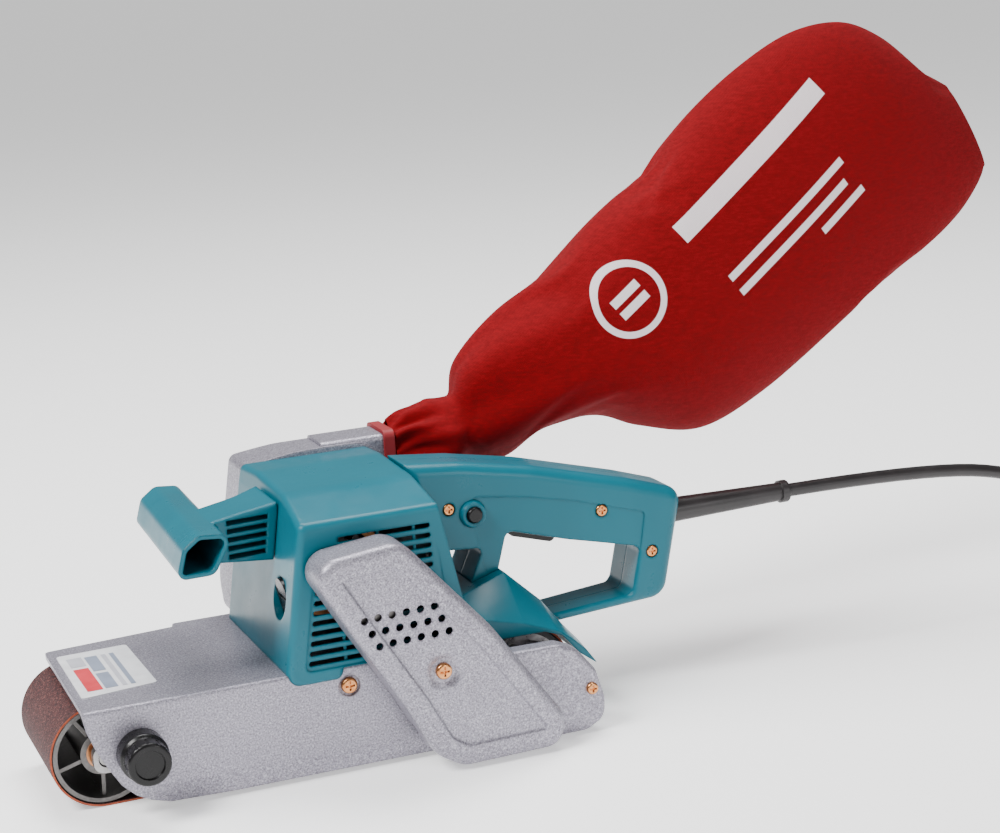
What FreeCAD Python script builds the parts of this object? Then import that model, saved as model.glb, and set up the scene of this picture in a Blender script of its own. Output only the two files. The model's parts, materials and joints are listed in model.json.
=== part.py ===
import FreeCAD
import Part
import math
import os
import Sketcher

# Handheld belt sander, millimetres.
# +X runs from the nose to the D handle, -Y is the drive-belt side, +Z is up.
# Shapes are drawn with X = 0 on the front roller axis and the working face at Z = 0.
# Every node is then moved forward by half the roller spacing, so that the middle of
# the sole is the origin.

doc = FreeCAD.newDocument("belt_sander")
sheet = doc.addObject("Spreadsheet::Sheet", "Dims")
Vector = FreeCAD.Vector

DIMENSIONS = {
    "roller_spacing": 224.0,
    "belt_radius": 26.6,
    "belt_thickness": 1.0,
    "belt_width": 76.0,
    "roller_radius": 25.3,
    "roller_width": 74.0,
    "plate_top": 57.0,
    "plate_thickness": 2.8,
    "wall_outer": 60.0,
    "wall_thickness": 4.0,
    "inner_frame_width": 90.0,
    "end_cover_depth": 10.0,
    "tray_face": 86.0,
    "tray_depth": 23.6,
    "tray_dish": 1.4,
    "housing_near": 62.0,
    "housing_far": 48.0,
    "housing_wall": 3.0,
    "slot_height": 2.7,
    "slot_pitch": 5.08,
    "fan_far": 80.0,
    "nozzle_top": 144.5,
    "nozzle_height": 24.0,
    "grip_near": 52.0,
    "grip_length": 109.0,
    "handle_half": 17.0,
    "base_half": 48.5,
    "motor_axis_x": 132.0,
    "motor_axis_z": 95.0,
    "lay_axis_x": 192.75,
    "lay_axis_z": 28.0,
    "cord_radius": 3.75,
    "guard_length": 70.0,
    "coil_outer": 57.0,
    "coil_inner": 26.4,
    "coil_height": 15.6,
}

for row, (alias, value) in enumerate(DIMENSIONS.items(), start=1):
    sheet.set("A%d" % row, alias)
    sheet.set("B%d" % row, str(value))
    sheet.setAlias("B%d" % row, alias)
doc.recompute()

D = DIMENSIONS
NODES = []
SHIFT = -D["roller_spacing"] / 2.0
AXIS_Y = FreeCAD.Rotation(Vector(1, 0, 0), -90)
AXIS_X = FreeCAD.Rotation(Vector(0, 1, 0), 90)
LEVEL = FreeCAD.Rotation()


def place(x, y, z, rotation=LEVEL):
    return FreeCAD.Placement(Vector(x, y, z), rotation)


def size(obj, prop, value):
    # A word is a cell of the sheet (or an expression of cells), a number is set directly.
    if isinstance(value, str):
        obj.setExpression(prop, value)
    else:
        setattr(obj, prop, value)


def box(name, length, width, height, x, y, z):
    obj = doc.addObject("Part::Box", name)
    size(obj, "Length", length)
    size(obj, "Width", width)
    size(obj, "Height", height)
    obj.Placement = place(x, y, z)
    return obj


def cylinder(name, radius, height, x, y, z, rotation=AXIS_Y):
    # AXIS_Y: the cylinder starts at y and runs toward +Y.
    obj = doc.addObject("Part::Cylinder", name)
    size(obj, "Radius", radius)
    size(obj, "Height", height)
    obj.Placement = place(x, y, z, rotation)
    return obj


def cone(name, radius_start, radius_end, height, x, y, z, rotation=AXIS_Y):
    obj = doc.addObject("Part::Cone", name)
    size(obj, "Radius1", radius_start)
    size(obj, "Radius2", radius_end)
    size(obj, "Height", height)
    obj.Placement = place(x, y, z, rotation)
    return obj


def fuse(name, parts):
    obj = doc.addObject("Part::MultiFuse", name)
    obj.Shapes = parts
    obj.Refine = True
    return obj


def cut(name, base, tools):
    tool = tools[0] if len(tools) == 1 else fuse(name + "_tools", tools)
    obj = doc.addObject("Part::Cut", name)
    obj.Base = base
    obj.Tool = tool
    obj.Refine = True
    return obj


def common(name, first, second):
    obj = doc.addObject("Part::Common", name)
    obj.Base = first
    obj.Tool = second
    obj.Refine = True
    return obj


def group(name, parts):
    obj = doc.addObject("Part::Compound", name)
    obj.Links = parts
    return obj


def arc_piece(start, end, centre, radius):
    # Arcs are always kept turning left, whichever way the outline runs.
    first = math.atan2(start.y - centre.y, start.x - centre.x)
    last = math.atan2(end.y - centre.y, end.x - centre.x)
    if (last - first) % (2.0 * math.pi) > math.pi:
        first, last = last, first
    if last < first:
        last += 2.0 * math.pi
    return Part.ArcOfCircle(Part.Circle(centre, Vector(0, 0, 1), radius), first, last)


def rounded_loop(points):
    # Corners are (u, v) or (u, v, radius). Returns straight and arc pieces in order.
    corners = [(p[0], p[1], p[2] if len(p) > 2 else 0.0) for p in points]
    count = len(corners)
    ends = []
    for i in range(count):
        u, v, radius = corners[i]
        if radius <= 0.0:
            ends.append((Vector(u, v, 0), Vector(u, v, 0), None, 0.0))
            continue
        here = Vector(u, v, 0)
        before = Vector(corners[i - 1][0], corners[i - 1][1], 0) - here
        after = Vector(corners[(i + 1) % count][0], corners[(i + 1) % count][1], 0) - here
        room = 0.49 * min(before.Length, after.Length)
        before.normalize()
        after.normalize()
        half = before.getAngle(after) / 2.0
        reach = min(radius / math.tan(half), room)
        radius = reach * math.tan(half)
        start = here + before * reach
        end = here + after * reach
        middle = before + after
        middle.normalize()
        centre = here + middle * math.hypot(reach, radius)
        ends.append((start, end, centre, radius))
    pieces = []
    for i in range(count):
        start, end, centre, radius = ends[i]
        if centre is not None:
            pieces.append(arc_piece(start, end, centre, radius))
        following = ends[(i + 1) % count][0]
        if (following - end).Length > 1e-6:
            pieces.append(Part.LineSegment(end, following))
    return pieces


PLANE_INDEX = {"XY": 3, "XZ": 4, "YZ": 5}


def draw(body, name, plane, loops, offset):
    sketch = body.newObject("Sketcher::SketchObject", name)
    sketch.AttachmentSupport = (body.Origin.OriginFeatures[PLANE_INDEX[plane]], [""])
    sketch.MapMode = "FlatFace"
    sketch.AttachmentOffset = place(0, 0, offset)
    for loop in loops:
        if loop[0] == "circle":
            centre = Vector(loop[1], loop[2], 0)
            sketch.addGeometry(Part.Circle(centre, Vector(0, 0, 1), loop[3]), False)
            continue
        pieces = rounded_loop(loop)
        first = sketch.GeometryCount
        sketch.addGeometry(pieces, False)
        total = len(pieces)
        for i in range(total):
            here = first + i
            other = first + (i + 1) % total
            a_ends = (sketch.Geometry[here].StartPoint, sketch.Geometry[here].EndPoint)
            b_ends = (sketch.Geometry[other].StartPoint, sketch.Geometry[other].EndPoint)
            options = [(abs((a - b).Length), m, n) for m, a in enumerate(a_ends) for n, b in enumerate(b_ends)]
            gap, m, n = min(options)
            if gap < 1e-4:
                sketch.addConstraint(Sketcher.Constraint("Coincident", here, m + 1, other, n + 1))
    return sketch


def prism(name, plane, loops, start, length):
    # XZ drawings start at Y = start and grow toward -Y; the others grow toward +.
    body = doc.addObject("PartDesign::Body", name)
    offset = -start if plane == "XZ" else start
    sketch = draw(body, name + "_outline", plane, loops, offset)
    pad = body.newObject("PartDesign::Pad", name + "_pad")
    pad.Profile = sketch
    size(pad, "Length", length)
    body.Tip = pad
    return body


def turned(name, points, angle=360.0):
    # Half section drawn in XY as (radius, along), turned about Y.
    body = doc.addObject("PartDesign::Body", name)
    sketch = draw(body, name + "_section", "XY", [points], 0.0)
    turn = body.newObject("PartDesign::Revolution", name + "_turn")
    turn.Profile = sketch
    turn.ReferenceAxis = (sketch, ["V_Axis"])
    turn.Angle = angle
    body.Tip = turn
    return body


def soften(name, base, wanted, radius):
    # Rounds the edges whose middle point satisfies the test.
    doc.recompute()
    picks = []
    for index, edge in enumerate(base.Shape.Edges, start=1):
        if edge.Length < 0.2:
            continue
        middle = edge.valueAt((edge.FirstParameter + edge.LastParameter) / 2.0)
        if wanted(middle, edge):
            picks.append((index, radius, radius))
    obj = doc.addObject("Part::Fillet", name)
    obj.Base = base
    obj.Edges = picks
    return obj


def loft(name, sections, ruled=False):
    obj = doc.addObject("Part::Loft", name)
    obj.Sections = sections
    obj.Solid = True
    obj.Ruled = ruled
    return obj


def ring_wire(name, points):
    obj = doc.addObject("Part::Polygon", name)
    obj.Nodes = [Vector(*p) for p in points]
    obj.Close = True
    return obj


def spring(name, radius, wire, pitch, height, placement):
    helix = doc.addObject("Part::Helix", name + "_path")
    helix.Pitch = pitch
    helix.Height = height
    helix.Radius = radius
    section = doc.addObject("Part::Circle", name + "_section")
    section.Radius = wire
    section.Placement = place(radius, 0, 0, FreeCAD.Rotation(Vector(1, 0, 0), 90))
    sweep = doc.addObject("Part::Sweep", name)
    sweep.Sections = [section]
    sweep.Spine = (helix, [])
    sweep.Solid = True
    sweep.Frenet = True
    sweep.Placement = placement
    return sweep


def node(obj, label, placement=None):
    # Finished piece: its label is its file name, its placement puts it in the frame.
    obj.Label = label
    base = obj.Placement if placement is None else placement
    obj.Placement = place(base.Base.x + SHIFT, base.Base.y, base.Base.z, base.Rotation)
    NODES.append((label, obj))
    return obj


def screw(name, x, y, z, head_radius, head_height, shank_radius, shank_length):
    # Pan head on the -Y side with a cross recess, shank toward +Y.
    head = cylinder(name + "_head", head_radius, head_height, x, y - head_height, z)
    shank = cylinder(name + "_shank", shank_radius, shank_length, x, y - 0.01, z)
    solid = fuse(name + "_blank", [head, shank])
    solid = soften(name + "_round", solid, lambda m, e: abs(m.y - y + head_height) < 0.01, head_height * 0.55)
    bar = head_radius * 1.15
    slot_a = box(name + "_slot_a", bar, 1.4, 1.0, x - bar / 2.0, y - head_height - 0.1, z - 0.5)
    slot_b = box(name + "_slot_b", 1.0, 1.4, bar, x - 0.5, y - head_height - 0.1, z - bar / 2.0)
    return cut(name, solid, [slot_a, slot_b])


def gear_loop(teeth, root, tip, fill, phase):
    points = []
    for k in range(teeth):
        for part, radius in ((-0.5, root), (-0.28, tip), (0.28, tip), (0.5, root)):
            angle = 2.0 * math.pi * (k + phase + part * fill) / teeth
            points.append((radius * math.cos(angle), radius * math.sin(angle)))
    return points


# ---------------------------------------------------------------- main frame
spacing = D["roller_spacing"]
axle_z = D["belt_radius"]
wall = D["wall_outer"]
plate_points = [(-12, -wall, 3), (-10.5, 44, 3), (59, 50.5), (60.5, 56, 2), (200, 56), (200, -wall)]
plate = prism("frame_plate", "XY", [plate_points], D["plate_top"] - D["plate_thickness"], "Dims.plate_thickness")
front_curve = [(-12.4, 55.5), (-10.8, 46.6), (-7.3, 36.9), (-2.6, 27.5), (3.2, 17.6), (10.3, 10.6)]
front_curve = front_curve + [(17.5, 6.6), (27.0, 3.6)]
rear_curve = [(245, 2.5, 8), (254.0, 8.0, 8), (254.5, 18.0, 12), (250.5, 33.0, 10), (240.5, 45.0, 10)]
rear_curve = rear_curve + [(231.0, 49.0, 6), (203.0, 49.3), (200.0, 57.0)]
wall_points = [(-12, 57.0)] + front_curve + [(60, 2.5)] + rear_curve
near_wall = prism("frame_wall", "XZ", [wall_points], -wall + D["wall_thickness"], "Dims.wall_thickness")
inner_block = box("frame_block", 140, "Dims.inner_frame_width", 44, 50, -wall + 4, 5.0)
pockets = []
for number, (first, last) in enumerate(((54, 93), (97, 141), (145, 186))):
    pockets.append(box("frame_pocket_%d" % number, last - first, 90, 36, first, -50, 9))
inner_frame = cut("frame_core", inner_block, pockets)
sole_rail = box("frame_rail", 18, "Dims.inner_frame_width", 4.0, 34, -wall + 4, 5.0)
near_rib = box("frame_near_rib", 140, 12, 5.4, 50, -56, 49)
frame_solid = fuse("frame_solid", [plate, near_wall, inner_frame, sole_rail, near_rib])
bevel_points = [(-wall - 1, 14.0), (-wall, 14.0), (-wall + 3.0, 1.0), (-wall - 1, 1.0)]
bevel = prism("frame_bevel", "YZ", [bevel_points], -20, 224)
bore_drive = cylinder("frame_bore_drive", 9.0, 5, spacing, -wall - 0.5, axle_z)
bore_lay = cylinder("frame_bore_lay", 8.0, 5, D["lay_axis_x"], -wall - 0.5, D["lay_axis_z"])
bore_track = cylinder("frame_bore_track", 3.3, 5, 14, -wall - 0.5, 32.7)
well_screw = cylinder("frame_screw_well", 5.6, 2.0, 121.5, -wall - 0.5, 46.5)
bore_screw = cylinder("frame_screw_bore", 2.1, 10.4, 121.5, -wall - 0.5, 46.5)
spring_well = cylinder("frame_spring_well", 5.6, 8, 49.0, -10, 27, AXIS_X)
frame_cuts = [bevel, bore_drive, bore_lay, bore_track, well_screw, bore_screw, spring_well]
frame_cut = cut("frame_cut", frame_solid, frame_cuts)
frame_round = soften(
    "frame_round", frame_cut,
    lambda m, e: abs(m.z - 57) < 0.05 and abs(m.y + wall) < 0.05 and e.Length > 60, 1.8)
node(frame_round, "main_frame")

platen = box("platen_plate", 152, 72, 1.2, 36, -36, 1.3)
node(platen, "platen_plate")
cork = box("cork_pad", 152, 72, 2.5, 36, -36, 2.5)
node(cork, "cork_pad")

# ---------------------------------------------------------------- rear end cover
cover_points = [(176.0, 1.6, 8), (245, 1.6, 9), (255.5, 7.0, 9), (256.0, 18.0, 12), (251.5, 34.0, 10)]
cover_points = cover_points + [(241.5, 46.5, 10), (232.0, 50.5, 6), (203.0, 51.0), (176.0, 51.0, 8)]
end_block = prism("end_block", "XZ", [cover_points], -wall, "Dims.end_cover_depth")
end_round = soften("end_round", end_block, lambda m, e: abs(m.y + wall + 10) < 0.05, 2.4)
inside = [(178.6, 4.0, 6), (244, 4.0, 7), (252.6, 8.5, 7), (253.2, 18.0, 10), (249.0, 33.0, 8)]
inside = inside + [(240, 44.2, 8), (231.5, 48.0, 4), (178.6, 48.4, 6)]
end_hollow = prism("end_hollow", "XZ", [inside], -wall + 0.01, 7.6)
end_bore = cylinder("end_bore", 6.2, 5, D["lay_axis_x"], -wall - 11, D["lay_axis_z"])
end_screw_bore = cylinder("end_screw_bore", 1.5, 12, 248.2, -wall - 11, 24.5)
end_cut = cut("end_cut", end_round, [end_hollow, end_bore, end_screw_bore])
node(end_cut, "rear_end_cover")

# ---------------------------------------------------------------- platen side parts


def belt_loop(x1, z1, r1, x2, z2, r2):
    # Open belt round two wheels, as a closed chain of straight and arc pieces.
    span = math.hypot(x2 - x1, z2 - z1)
    heading = math.atan2(z2 - z1, x2 - x1)
    tilt = math.acos((r1 - r2) / span)
    pieces = []
    points = []
    for sign in (1.0, -1.0):
        angle = heading + sign * tilt
        points.append((Vector(x1 + r1 * math.cos(angle), z1 + r1 * math.sin(angle), 0),
                       Vector(x2 + r2 * math.cos(angle), z2 + r2 * math.sin(angle), 0)))
    back = heading + math.pi
    crown1 = Vector(x1 + r1 * math.cos(back), z1 + r1 * math.sin(back), 0)
    crown2 = Vector(x2 + r2 * math.cos(heading), z2 + r2 * math.sin(heading), 0)
    pieces.append(Part.LineSegment(points[0][0], points[0][1]))
    pieces.append(Part.Arc(points[0][1], crown2, points[1][1]))
    pieces.append(Part.LineSegment(points[1][1], points[1][0]))
    pieces.append(Part.Arc(points[1][0], crown1, points[0][0]))
    return pieces


def loop_band(name, wheels, thickness, start, length):
    body = doc.addObject("PartDesign::Body", name)
    sketch = body.newObject("Sketcher::SketchObject", name + "_outline")
    sketch.AttachmentSupport = (body.Origin.OriginFeatures[4], [""])
    sketch.MapMode = "FlatFace"
    sketch.AttachmentOffset = place(0, 0, -start)
    x1, z1, r1, x2, z2, r2 = wheels
    sketch.addGeometry(belt_loop(x1, z1, r1 + thickness, x2, z2, r2 + thickness), False)
    sketch.addGeometry(belt_loop(x1, z1, r1, x2, z2, r2), False)
    pad = body.newObject("PartDesign::Pad", name + "_pad")
    pad.Profile = sketch
    size(pad, "Length", length)
    body.Tip = pad
    return body


belt_inner = D["belt_radius"] - D["belt_thickness"]
wheels = (0, axle_z, belt_inner, spacing, axle_z, belt_inner)
belt = loop_band("sanding_belt", wheels, D["belt_thickness"], 38.0, "Dims.belt_width")
node(belt, "abrasive_belt")

# ---------------------------------------------------------------- rear drive roller
core_section = [(6.0, -37.0), (22.0, -37.0), (22.0, 37.0), (19.0, 37.0), (19.0, 12.0), (6.0, 12.0)]
drive_core = turned("drive_core", core_section)
core_cup = turned("drive_cup", [(10.0, -37.5), (18.5, -37.5), (18.5, -14.0), (10.0, -14.0)])
drive_core_cut = cut("drive_core_cut", drive_core, [core_cup])
node(drive_core_cut, "drive_roller", place(spacing, 0, axle_z))
sleeve = turned("drive_sleeve", [(22.0, -37.0), (25.3, -37.0, 0.8), (25.3, 37.0, 0.8), (22.0, 37.0)])
node(sleeve, "drive_roller_sleeve", place(spacing, 0, axle_z))
shaft_section = [(0, -67.0), (5.0, -67.0), (5.0, -56.0), (6.0, -56.0), (6.0, 12.0), (6.0, 40.0, 1.0), (0, 40.0)]
drive_shaft = turned("drive_shaft_body", shaft_section)
node(drive_shaft, "drive_shaft", place(spacing, 0, axle_z))
gear_outline = gear_loop(32, 18.4, 20.9, 0.66, 0.0)
gear_wheel = prism("gear_wheel", "XZ", [gear_outline, ("circle", 0, 0, 5.0)], -61.2, 6.0)
node(gear_wheel, "drive_gear", place(spacing, 0, axle_z))


def bearing(name, bore, outer, width, y):
    inner_ring = turned(name + "_inner", [(bore, 0), (bore + 1.6, 0), (bore + 1.6, width), (bore, width)])
    outer_ring = turned(name + "_outer", [(outer - 1.6, 0), (outer, 0), (outer, width), (outer - 1.6, width)])
    shield = turned(name + "_shield", [(bore + 1.6, 0.5), (outer - 1.6, 0.5), (outer - 1.6, width - 0.5),
                                       (bore + 1.6, width - 0.5)])
    solid = fuse(name, [inner_ring, outer_ring, shield])
    solid.Placement = place(0, y, 0)
    return solid


drive_bearing = bearing("drive_bearing", 6.0, 9.0, 4.0, -60.0)
node(drive_bearing, "drive_shaft_bearing", place(spacing, -60.0, axle_z))

# ---------------------------------------------------------------- front idler roller
idler_shell = turned("idler_shell", [(22.6, -37.0), (25.3, -37.0, 0.6), (25.3, 37.0, 0.6), (22.6, 37.0)])
idler_hub = turned("idler_hub", [(8.0, -35.0), (11.0, -35.0), (11.0, 35.0), (8.0, 35.0)])
spokes = []
for k in range(5):
    blade = box("idler_spoke_%d" % k, 12.4, 66.0, 2.0, 10.6, -33.0, -1.0)
    turn_blade = FreeCAD.Rotation(Vector(0, 1, 0), 72.0 * k + 20.0)
    blade.Placement = FreeCAD.Placement(turn_blade.multVec(Vector(10.6, -33.0, -1.0)), turn_blade)
    spokes.append(blade)
idler = fuse("idler", [idler_shell, idler_hub] + spokes)
node(idler, "idler_roller", place(0, 0, axle_z))
bush_a = turned("bush_a", [(4.0, -35.0), (8.0, -35.0), (8.0, -25.0), (4.0, -25.0)])
bush_b = turned("bush_b", [(4.0, 25.0), (8.0, 25.0), (8.0, 35.0), (4.0, 35.0)])
bushes = group("bushes", [bush_a, bush_b])
node(bushes, "idler_bushes", place(0, 0, axle_z))
axle = turned("axle", [(0, -44.0), (4.0, -44.0, 0.8), (4.0, 44.0, 0.8), (0, 44.0)])
node(axle, "idler_axle", place(0, 0, axle_z))
yoke_back = box("yoke_back", 5.0, 90.0, 26.0, 31.0, -45.0, 13.6)
yoke_arm_points = [(-6.5, 20.1, 5), (36.0, 16.6), (36.0, 36.6), (-6.5, 33.1, 5)]
yoke_near = prism("yoke_near", "XZ", [yoke_arm_points, ("circle", 0, axle_z, 4.0)], -39.5, 5.5)
yoke_far = prism("yoke_far", "XZ", [yoke_arm_points, ("circle", 0, axle_z, 4.0)], 45.0, 5.5)
yoke_pin = cylinder("yoke_pin", 2.6, 10.0, 36.0, -10, 27, AXIS_X)
yoke = fuse("yoke", [yoke_back, yoke_near, yoke_far, yoke_pin])
node(yoke, "idler_bracket")
tension = spring("tension_coil", 4.2, 0.7, 2.6, 15.6, place(36.8, -10, 27, AXIS_X))
node(tension, "tension_spring")
lever_plate_points = [(64, 24, 5), (76, 24, 5), (76, 36, 5), (66, 37, 3), (39, 34.5, 3), (39, 28.5, 3), (62, 29)]
lever_plate = prism("lever_plate", "XZ", [lever_plate_points], 49.5, 3.0)
lever_pivot = cylinder("lever_pivot", 3.0, 13.0, 70, 34.3, 30)
lever = fuse("lever", [lever_plate, lever_pivot])
node(lever, "tension_lever")

# ---------------------------------------------------------------- tracking knob
knob_section = [(3.0, 0), (12.2, 0), (12.2, -9.0, 1.6), (10.9, -10.5), (10.9, -19.8, 1.8), (7.4, -19.8)]
knob_section = knob_section + [(7.0, -18.6), (0, -18.6), (0, -14.0), (3.0, -14.0)]
knob_blank = turned("knob_blank", knob_section)
flutes = []
for k in range(12):
    angle = 2.0 * math.pi * k / 12
    flutes.append(cylinder("knob_flute_%d" % k, 1.1, 8, 11.6 * math.cos(angle), -20.5, 11.6 * math.sin(angle)))
knob = cut("knob", knob_blank, flutes)
node(knob, "tracking_knob", place(14, -wall - 0.3, 32.7))
tracking = turned("tracking", [(0, -14.0), (3.0, -14.0), (3.0, 12.0, 0.8), (0, 12.0)])
node(tracking, "tracking_screw", place(14, -wall - 0.3, 32.7))

# ---------------------------------------------------------------- belt cover tray
tray_points = [(95.5, 117.8, 11), (146.0, 123.4, 15), (190.0, 72.5, 90), (228.0, 17.5, 14)]
tray_points = tray_points + [(224.0, 2.6, 10), (171.0, 1.6, 16), (157.0, 10.0, 20), (143.0, 37.0, 60)]
tray_points = tray_points + [(119.0, 77.0, 60)]


def inset(points, distance, trim=0.0):
    # Moves every side of a convex outline inward.
    count = len(points)
    moved = []
    turn = 0.0
    for i in range(count):
        ax, az = points[i][0], points[i][1]
        bx, bz = points[(i + 1) % count][0], points[(i + 1) % count][1]
        turn += ax * bz - bx * az
    side = 1.0 if turn > 0 else -1.0
    lines = []
    for i in range(count):
        ax, az = points[i][0], points[i][1]
        bx, bz = points[(i + 1) % count][0], points[(i + 1) % count][1]
        run = math.hypot(bx - ax, bz - az)
        nx, nz = -(bz - az) / run * side, (bx - ax) / run * side
        lines.append((nx, nz, nx * ax + nz * az + distance))
    for i in range(count):
        n1x, n1z, c1 = lines[i - 1]
        n2x, n2z, c2 = lines[i]
        det = n1x * n2z - n2x * n1z
        u = (c1 * n2z - c2 * n1z) / det
        v = (n1x * c2 - n2x * c1) / det
        radius = points[i][2] if len(points[i]) > 2 else 0.0
        moved.append((u, v, max(radius - distance, 1.0) if radius else 0.0))
    return moved


tray_face = D["tray_face"]
tray_block = prism("tray_block", "XZ", [tray_points], -tray_face + D["tray_depth"], "Dims.tray_depth")
tray_round = soften("tray_round", tray_block, lambda m, e: abs(m.y + tray_face) < 0.05, 4.5)
tray_inner = prism("tray_inner", "XZ", [inset(tray_points, 2.2)], -tray_face + D["tray_depth"] + 0.01, 21.0)
tray_dish = prism("tray_dish_form", "XZ", [inset(tray_points, 11.0)], -tray_face + D["tray_dish"], 3.0)
tray_dish_round = soften(
    "tray_dish_round", tray_dish, lambda m, e: abs(m.y + tray_face - D["tray_dish"]) < 0.05, 1.35)
tray_step = box("tray_step", 120, 12, 60, 150, -wall - 10.3, -5)
tray_holes = []
for row in range(3):
    for column in range(6):
        x = 123.8 + 7.35 * column + 3.4 * row
        z = 86.8 + 0.25 * column - 7.0 * row
        tray_holes.append(cylinder("tray_hole_%d_%d" % (row, column), 2.0, 6, x, -tray_face - 0.5, z))
tray_dimple = cone("tray_dimple", 10.0, 6.4, 1.8, 163.4, -tray_face + 1.3, 53.6)
tray_bore = cylinder("tray_bore", 2.3, 17, 163.4, -tray_face - 0.5, 53.6)
tray_shell = cut("tray_shell", tray_round, [tray_inner])
tray_pad = cylinder("tray_pad", 10.5, 2.2, 163.4, -tray_face + 2.5, 53.6)
tray_post = cylinder("tray_post", 6.0, 13.2, 163.4, -tray_face + 2.5, 53.6)
tray_posted = fuse("tray_posted", [tray_shell, tray_pad, tray_post])
tray = cut("tray", tray_posted, [tray_dish_round, tray_step, tray_dimple, tray_bore] + tray_holes)
node(tray, "belt_cover")

# ---------------------------------------------------------------- motor housing
near = D["housing_near"]
far = D["housing_far"]
shell_wall = D["housing_wall"]
side_points = [(88.6, 50.5, 7), (101.6, 131.5), (104.6, 145.0), (171.5, 145.0), (173.8, 133.3), (186.5, 70.0, 12)]
side_points = side_points + [(186.5, 57.0), (120.0, 57.0), (118.0, 50.5, 6)]
top_points = [(-near, 45.0), (far, 45.0), (far, 140.0), (20.0, 142.2, 60), (-28.0, 140.5, 50)]
top_points = top_points + [(-near + 1.5, 132.0, 4)]
side_form = prism("housing_side_form", "XZ", [side_points], 60, 130)
top_form = prism("housing_top_form", "YZ", [top_points], 80, 120)
housing_block = common("housing_block", side_form, top_form)


def housing_edges(m, e):
    return m.y < -near + 1.8 and m.x < 103.5 and m.z > 51.0


housing_round = soften("housing_round", housing_block, housing_edges, 3.5)
side_inner = [(92.6, 44.0), (104.5, 129.5), (107.0, 150.0), (167.5, 150.0), (171.0, 129.5), (182.5, 70.0)]
side_inner = side_inner + [(182.5, 44.0)]
top_inner = [(-near + 3.2, 44.0), (far + 1.0, 44.0), (far + 1.0, 137.0), (-28.0, 137.3), (-near + 3.2, 128.6)]
inner_side_form = prism("housing_inner_side", "XZ", [side_inner], 60, 130)
inner_top_form = prism("housing_inner_top", "YZ", [top_inner], 80, 120)
housing_hollow = common("housing_hollow", inner_side_form, inner_top_form)
recess_points = [(99.0, 57.5, 3), (110.0, 124.5, 3), (140.0, 128.2, 30), (168.5, 127.2, 3), (173.0, 108.0), (178.0, 57.5, 3)]
panel_recess = prism("housing_recess", "XZ", [recess_points], -near + 1.2, 3.0)
slots = []
for k in range(13):
    z = 122.3 - D["slot_pitch"] * k
    left = 101.3 + (z - 61.0) * 0.165
    right = 170.4 - (z - 61.0) * 0.02
    if k == 0:
        left += 9.0
    outline = [(left, z - 1.35, 1.2), (right, z - 1.35, 1.2), (right, z + 1.35, 1.2), (left, z + 1.35, 1.2)]
    slots.append(prism("housing_slot_%d" % k, "XZ", [outline], -near + 6.0, 8.0))
brush_tilt = FreeCAD.Rotation(Vector(0, 1, 0), 90.0 - 9.4)
brush_bore = cylinder("housing_brush_bore", 10.4, 14, 88.0, -39.0, 89.8, brush_tilt)
brush_bore_rear = cylinder("housing_brush_bore_rear", 8.4, 14, 174.0, -39.0, 95.0, AXIS_X)
pulley_bore = cylinder("housing_pulley_bore", 9.0, 6, D["motor_axis_x"], -near - 1, D["motor_axis_z"])
foot_cut = box("housing_foot_cut", 110, 118, 8.0, 84, -60, 49.0)
well_cut = cylinder("housing_well_cut", 7.0, 6, 121.5, -near - 2, 46.5)
housing_cut = cut(
    "housing_cut", housing_round,
    [housing_hollow, panel_recess, brush_bore, brush_bore_rear, pulley_bore, foot_cut, well_cut] + slots)
ribs = []
for k, x in enumerate((120.0, 141.0, 160.0)):
    ribs.append(box("housing_rib_%d" % k, 1.6, 1.4, 66, x, -near + 2.4, 58.0))
bearing_wall = cylinder("housing_bearing_wall", 12.0, 6.0, D["motor_axis_x"], -near + 3.0, D["motor_axis_z"])
bearing_bore = cylinder("housing_bearing_bore", 9.0, 9.0, D["motor_axis_x"], -near + 1.0, D["motor_axis_z"])
housing_all = fuse("housing_all", [housing_cut, bearing_wall] + ribs)
housing = cut("housing", housing_all, [bearing_bore])
node(housing, "motor_housing")

# ---------------------------------------------------------------- front grip
grip_shape = [(41.0, 112.2, 4.0), (60.5, 112.4, 6.0), (71.5, 131.6, 5.0), (53.6, 133.4, 6.0), (45.4, 127.4, 6.0)]


def grip_section(name, y, shift, reduce):
    points = inset(grip_shape, reduce) if reduce else grip_shape
    points = [(p[0] + shift, p[1], p[2]) for p in points]
    sketch = doc.addObject("Sketcher::SketchObject", name)
    sketch.Placement = place(0, y, 0, FreeCAD.Rotation(Vector(1, 0, 0), 90))
    sketch.addGeometry(rounded_loop(points), False)
    return sketch


grip_near = -D["grip_near"]
grip_far = grip_near + D["grip_length"]
grip_outer = loft("grip_outer", [grip_section("grip_near_section", grip_near, 0.0, 0.0),
                                 grip_section("grip_far_section", grip_far, 4.3, 0.4)])
grip_inner = loft("grip_inner", [grip_section("grip_bore_near", grip_near - 0.5, 0.0, 2.2),
                                 grip_section("grip_bore_far", grip_far - 12.0, 3.8, 2.6)])
neck_plan = [(56.0, -29.5), (74.0, -28.0, 8), (101.0, -26.0), (101.0, 13.0), (86.0, 4.5, 14), (60.0, 1.0)]
neck_side = [(56.0, 112.6), (76.0, 110.0), (96.9, 107.6), (101.9, 136.8), (86.0, 135.0, 30), (56.0, 130.8)]
neck_plan_form = prism("neck_plan_form", "XY", [neck_plan], 100, 45)
neck_side_form = prism("neck_side_form", "XZ", [neck_side], 30, 70)
neck_block = common("neck_block", neck_plan_form, neck_side_form)
neck_round = soften(
    "neck_round", neck_block,
    lambda m, e: m.z > 130.5 and 60 < m.x < 98 and (m.y < -25 or m.y > 0.5) and e.Length > 5, 1.6)
face_cut_points = [(97.03, 100.0), (120.0, 100.0), (120.0, 140.0), (103.0, 140.0)]
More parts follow.
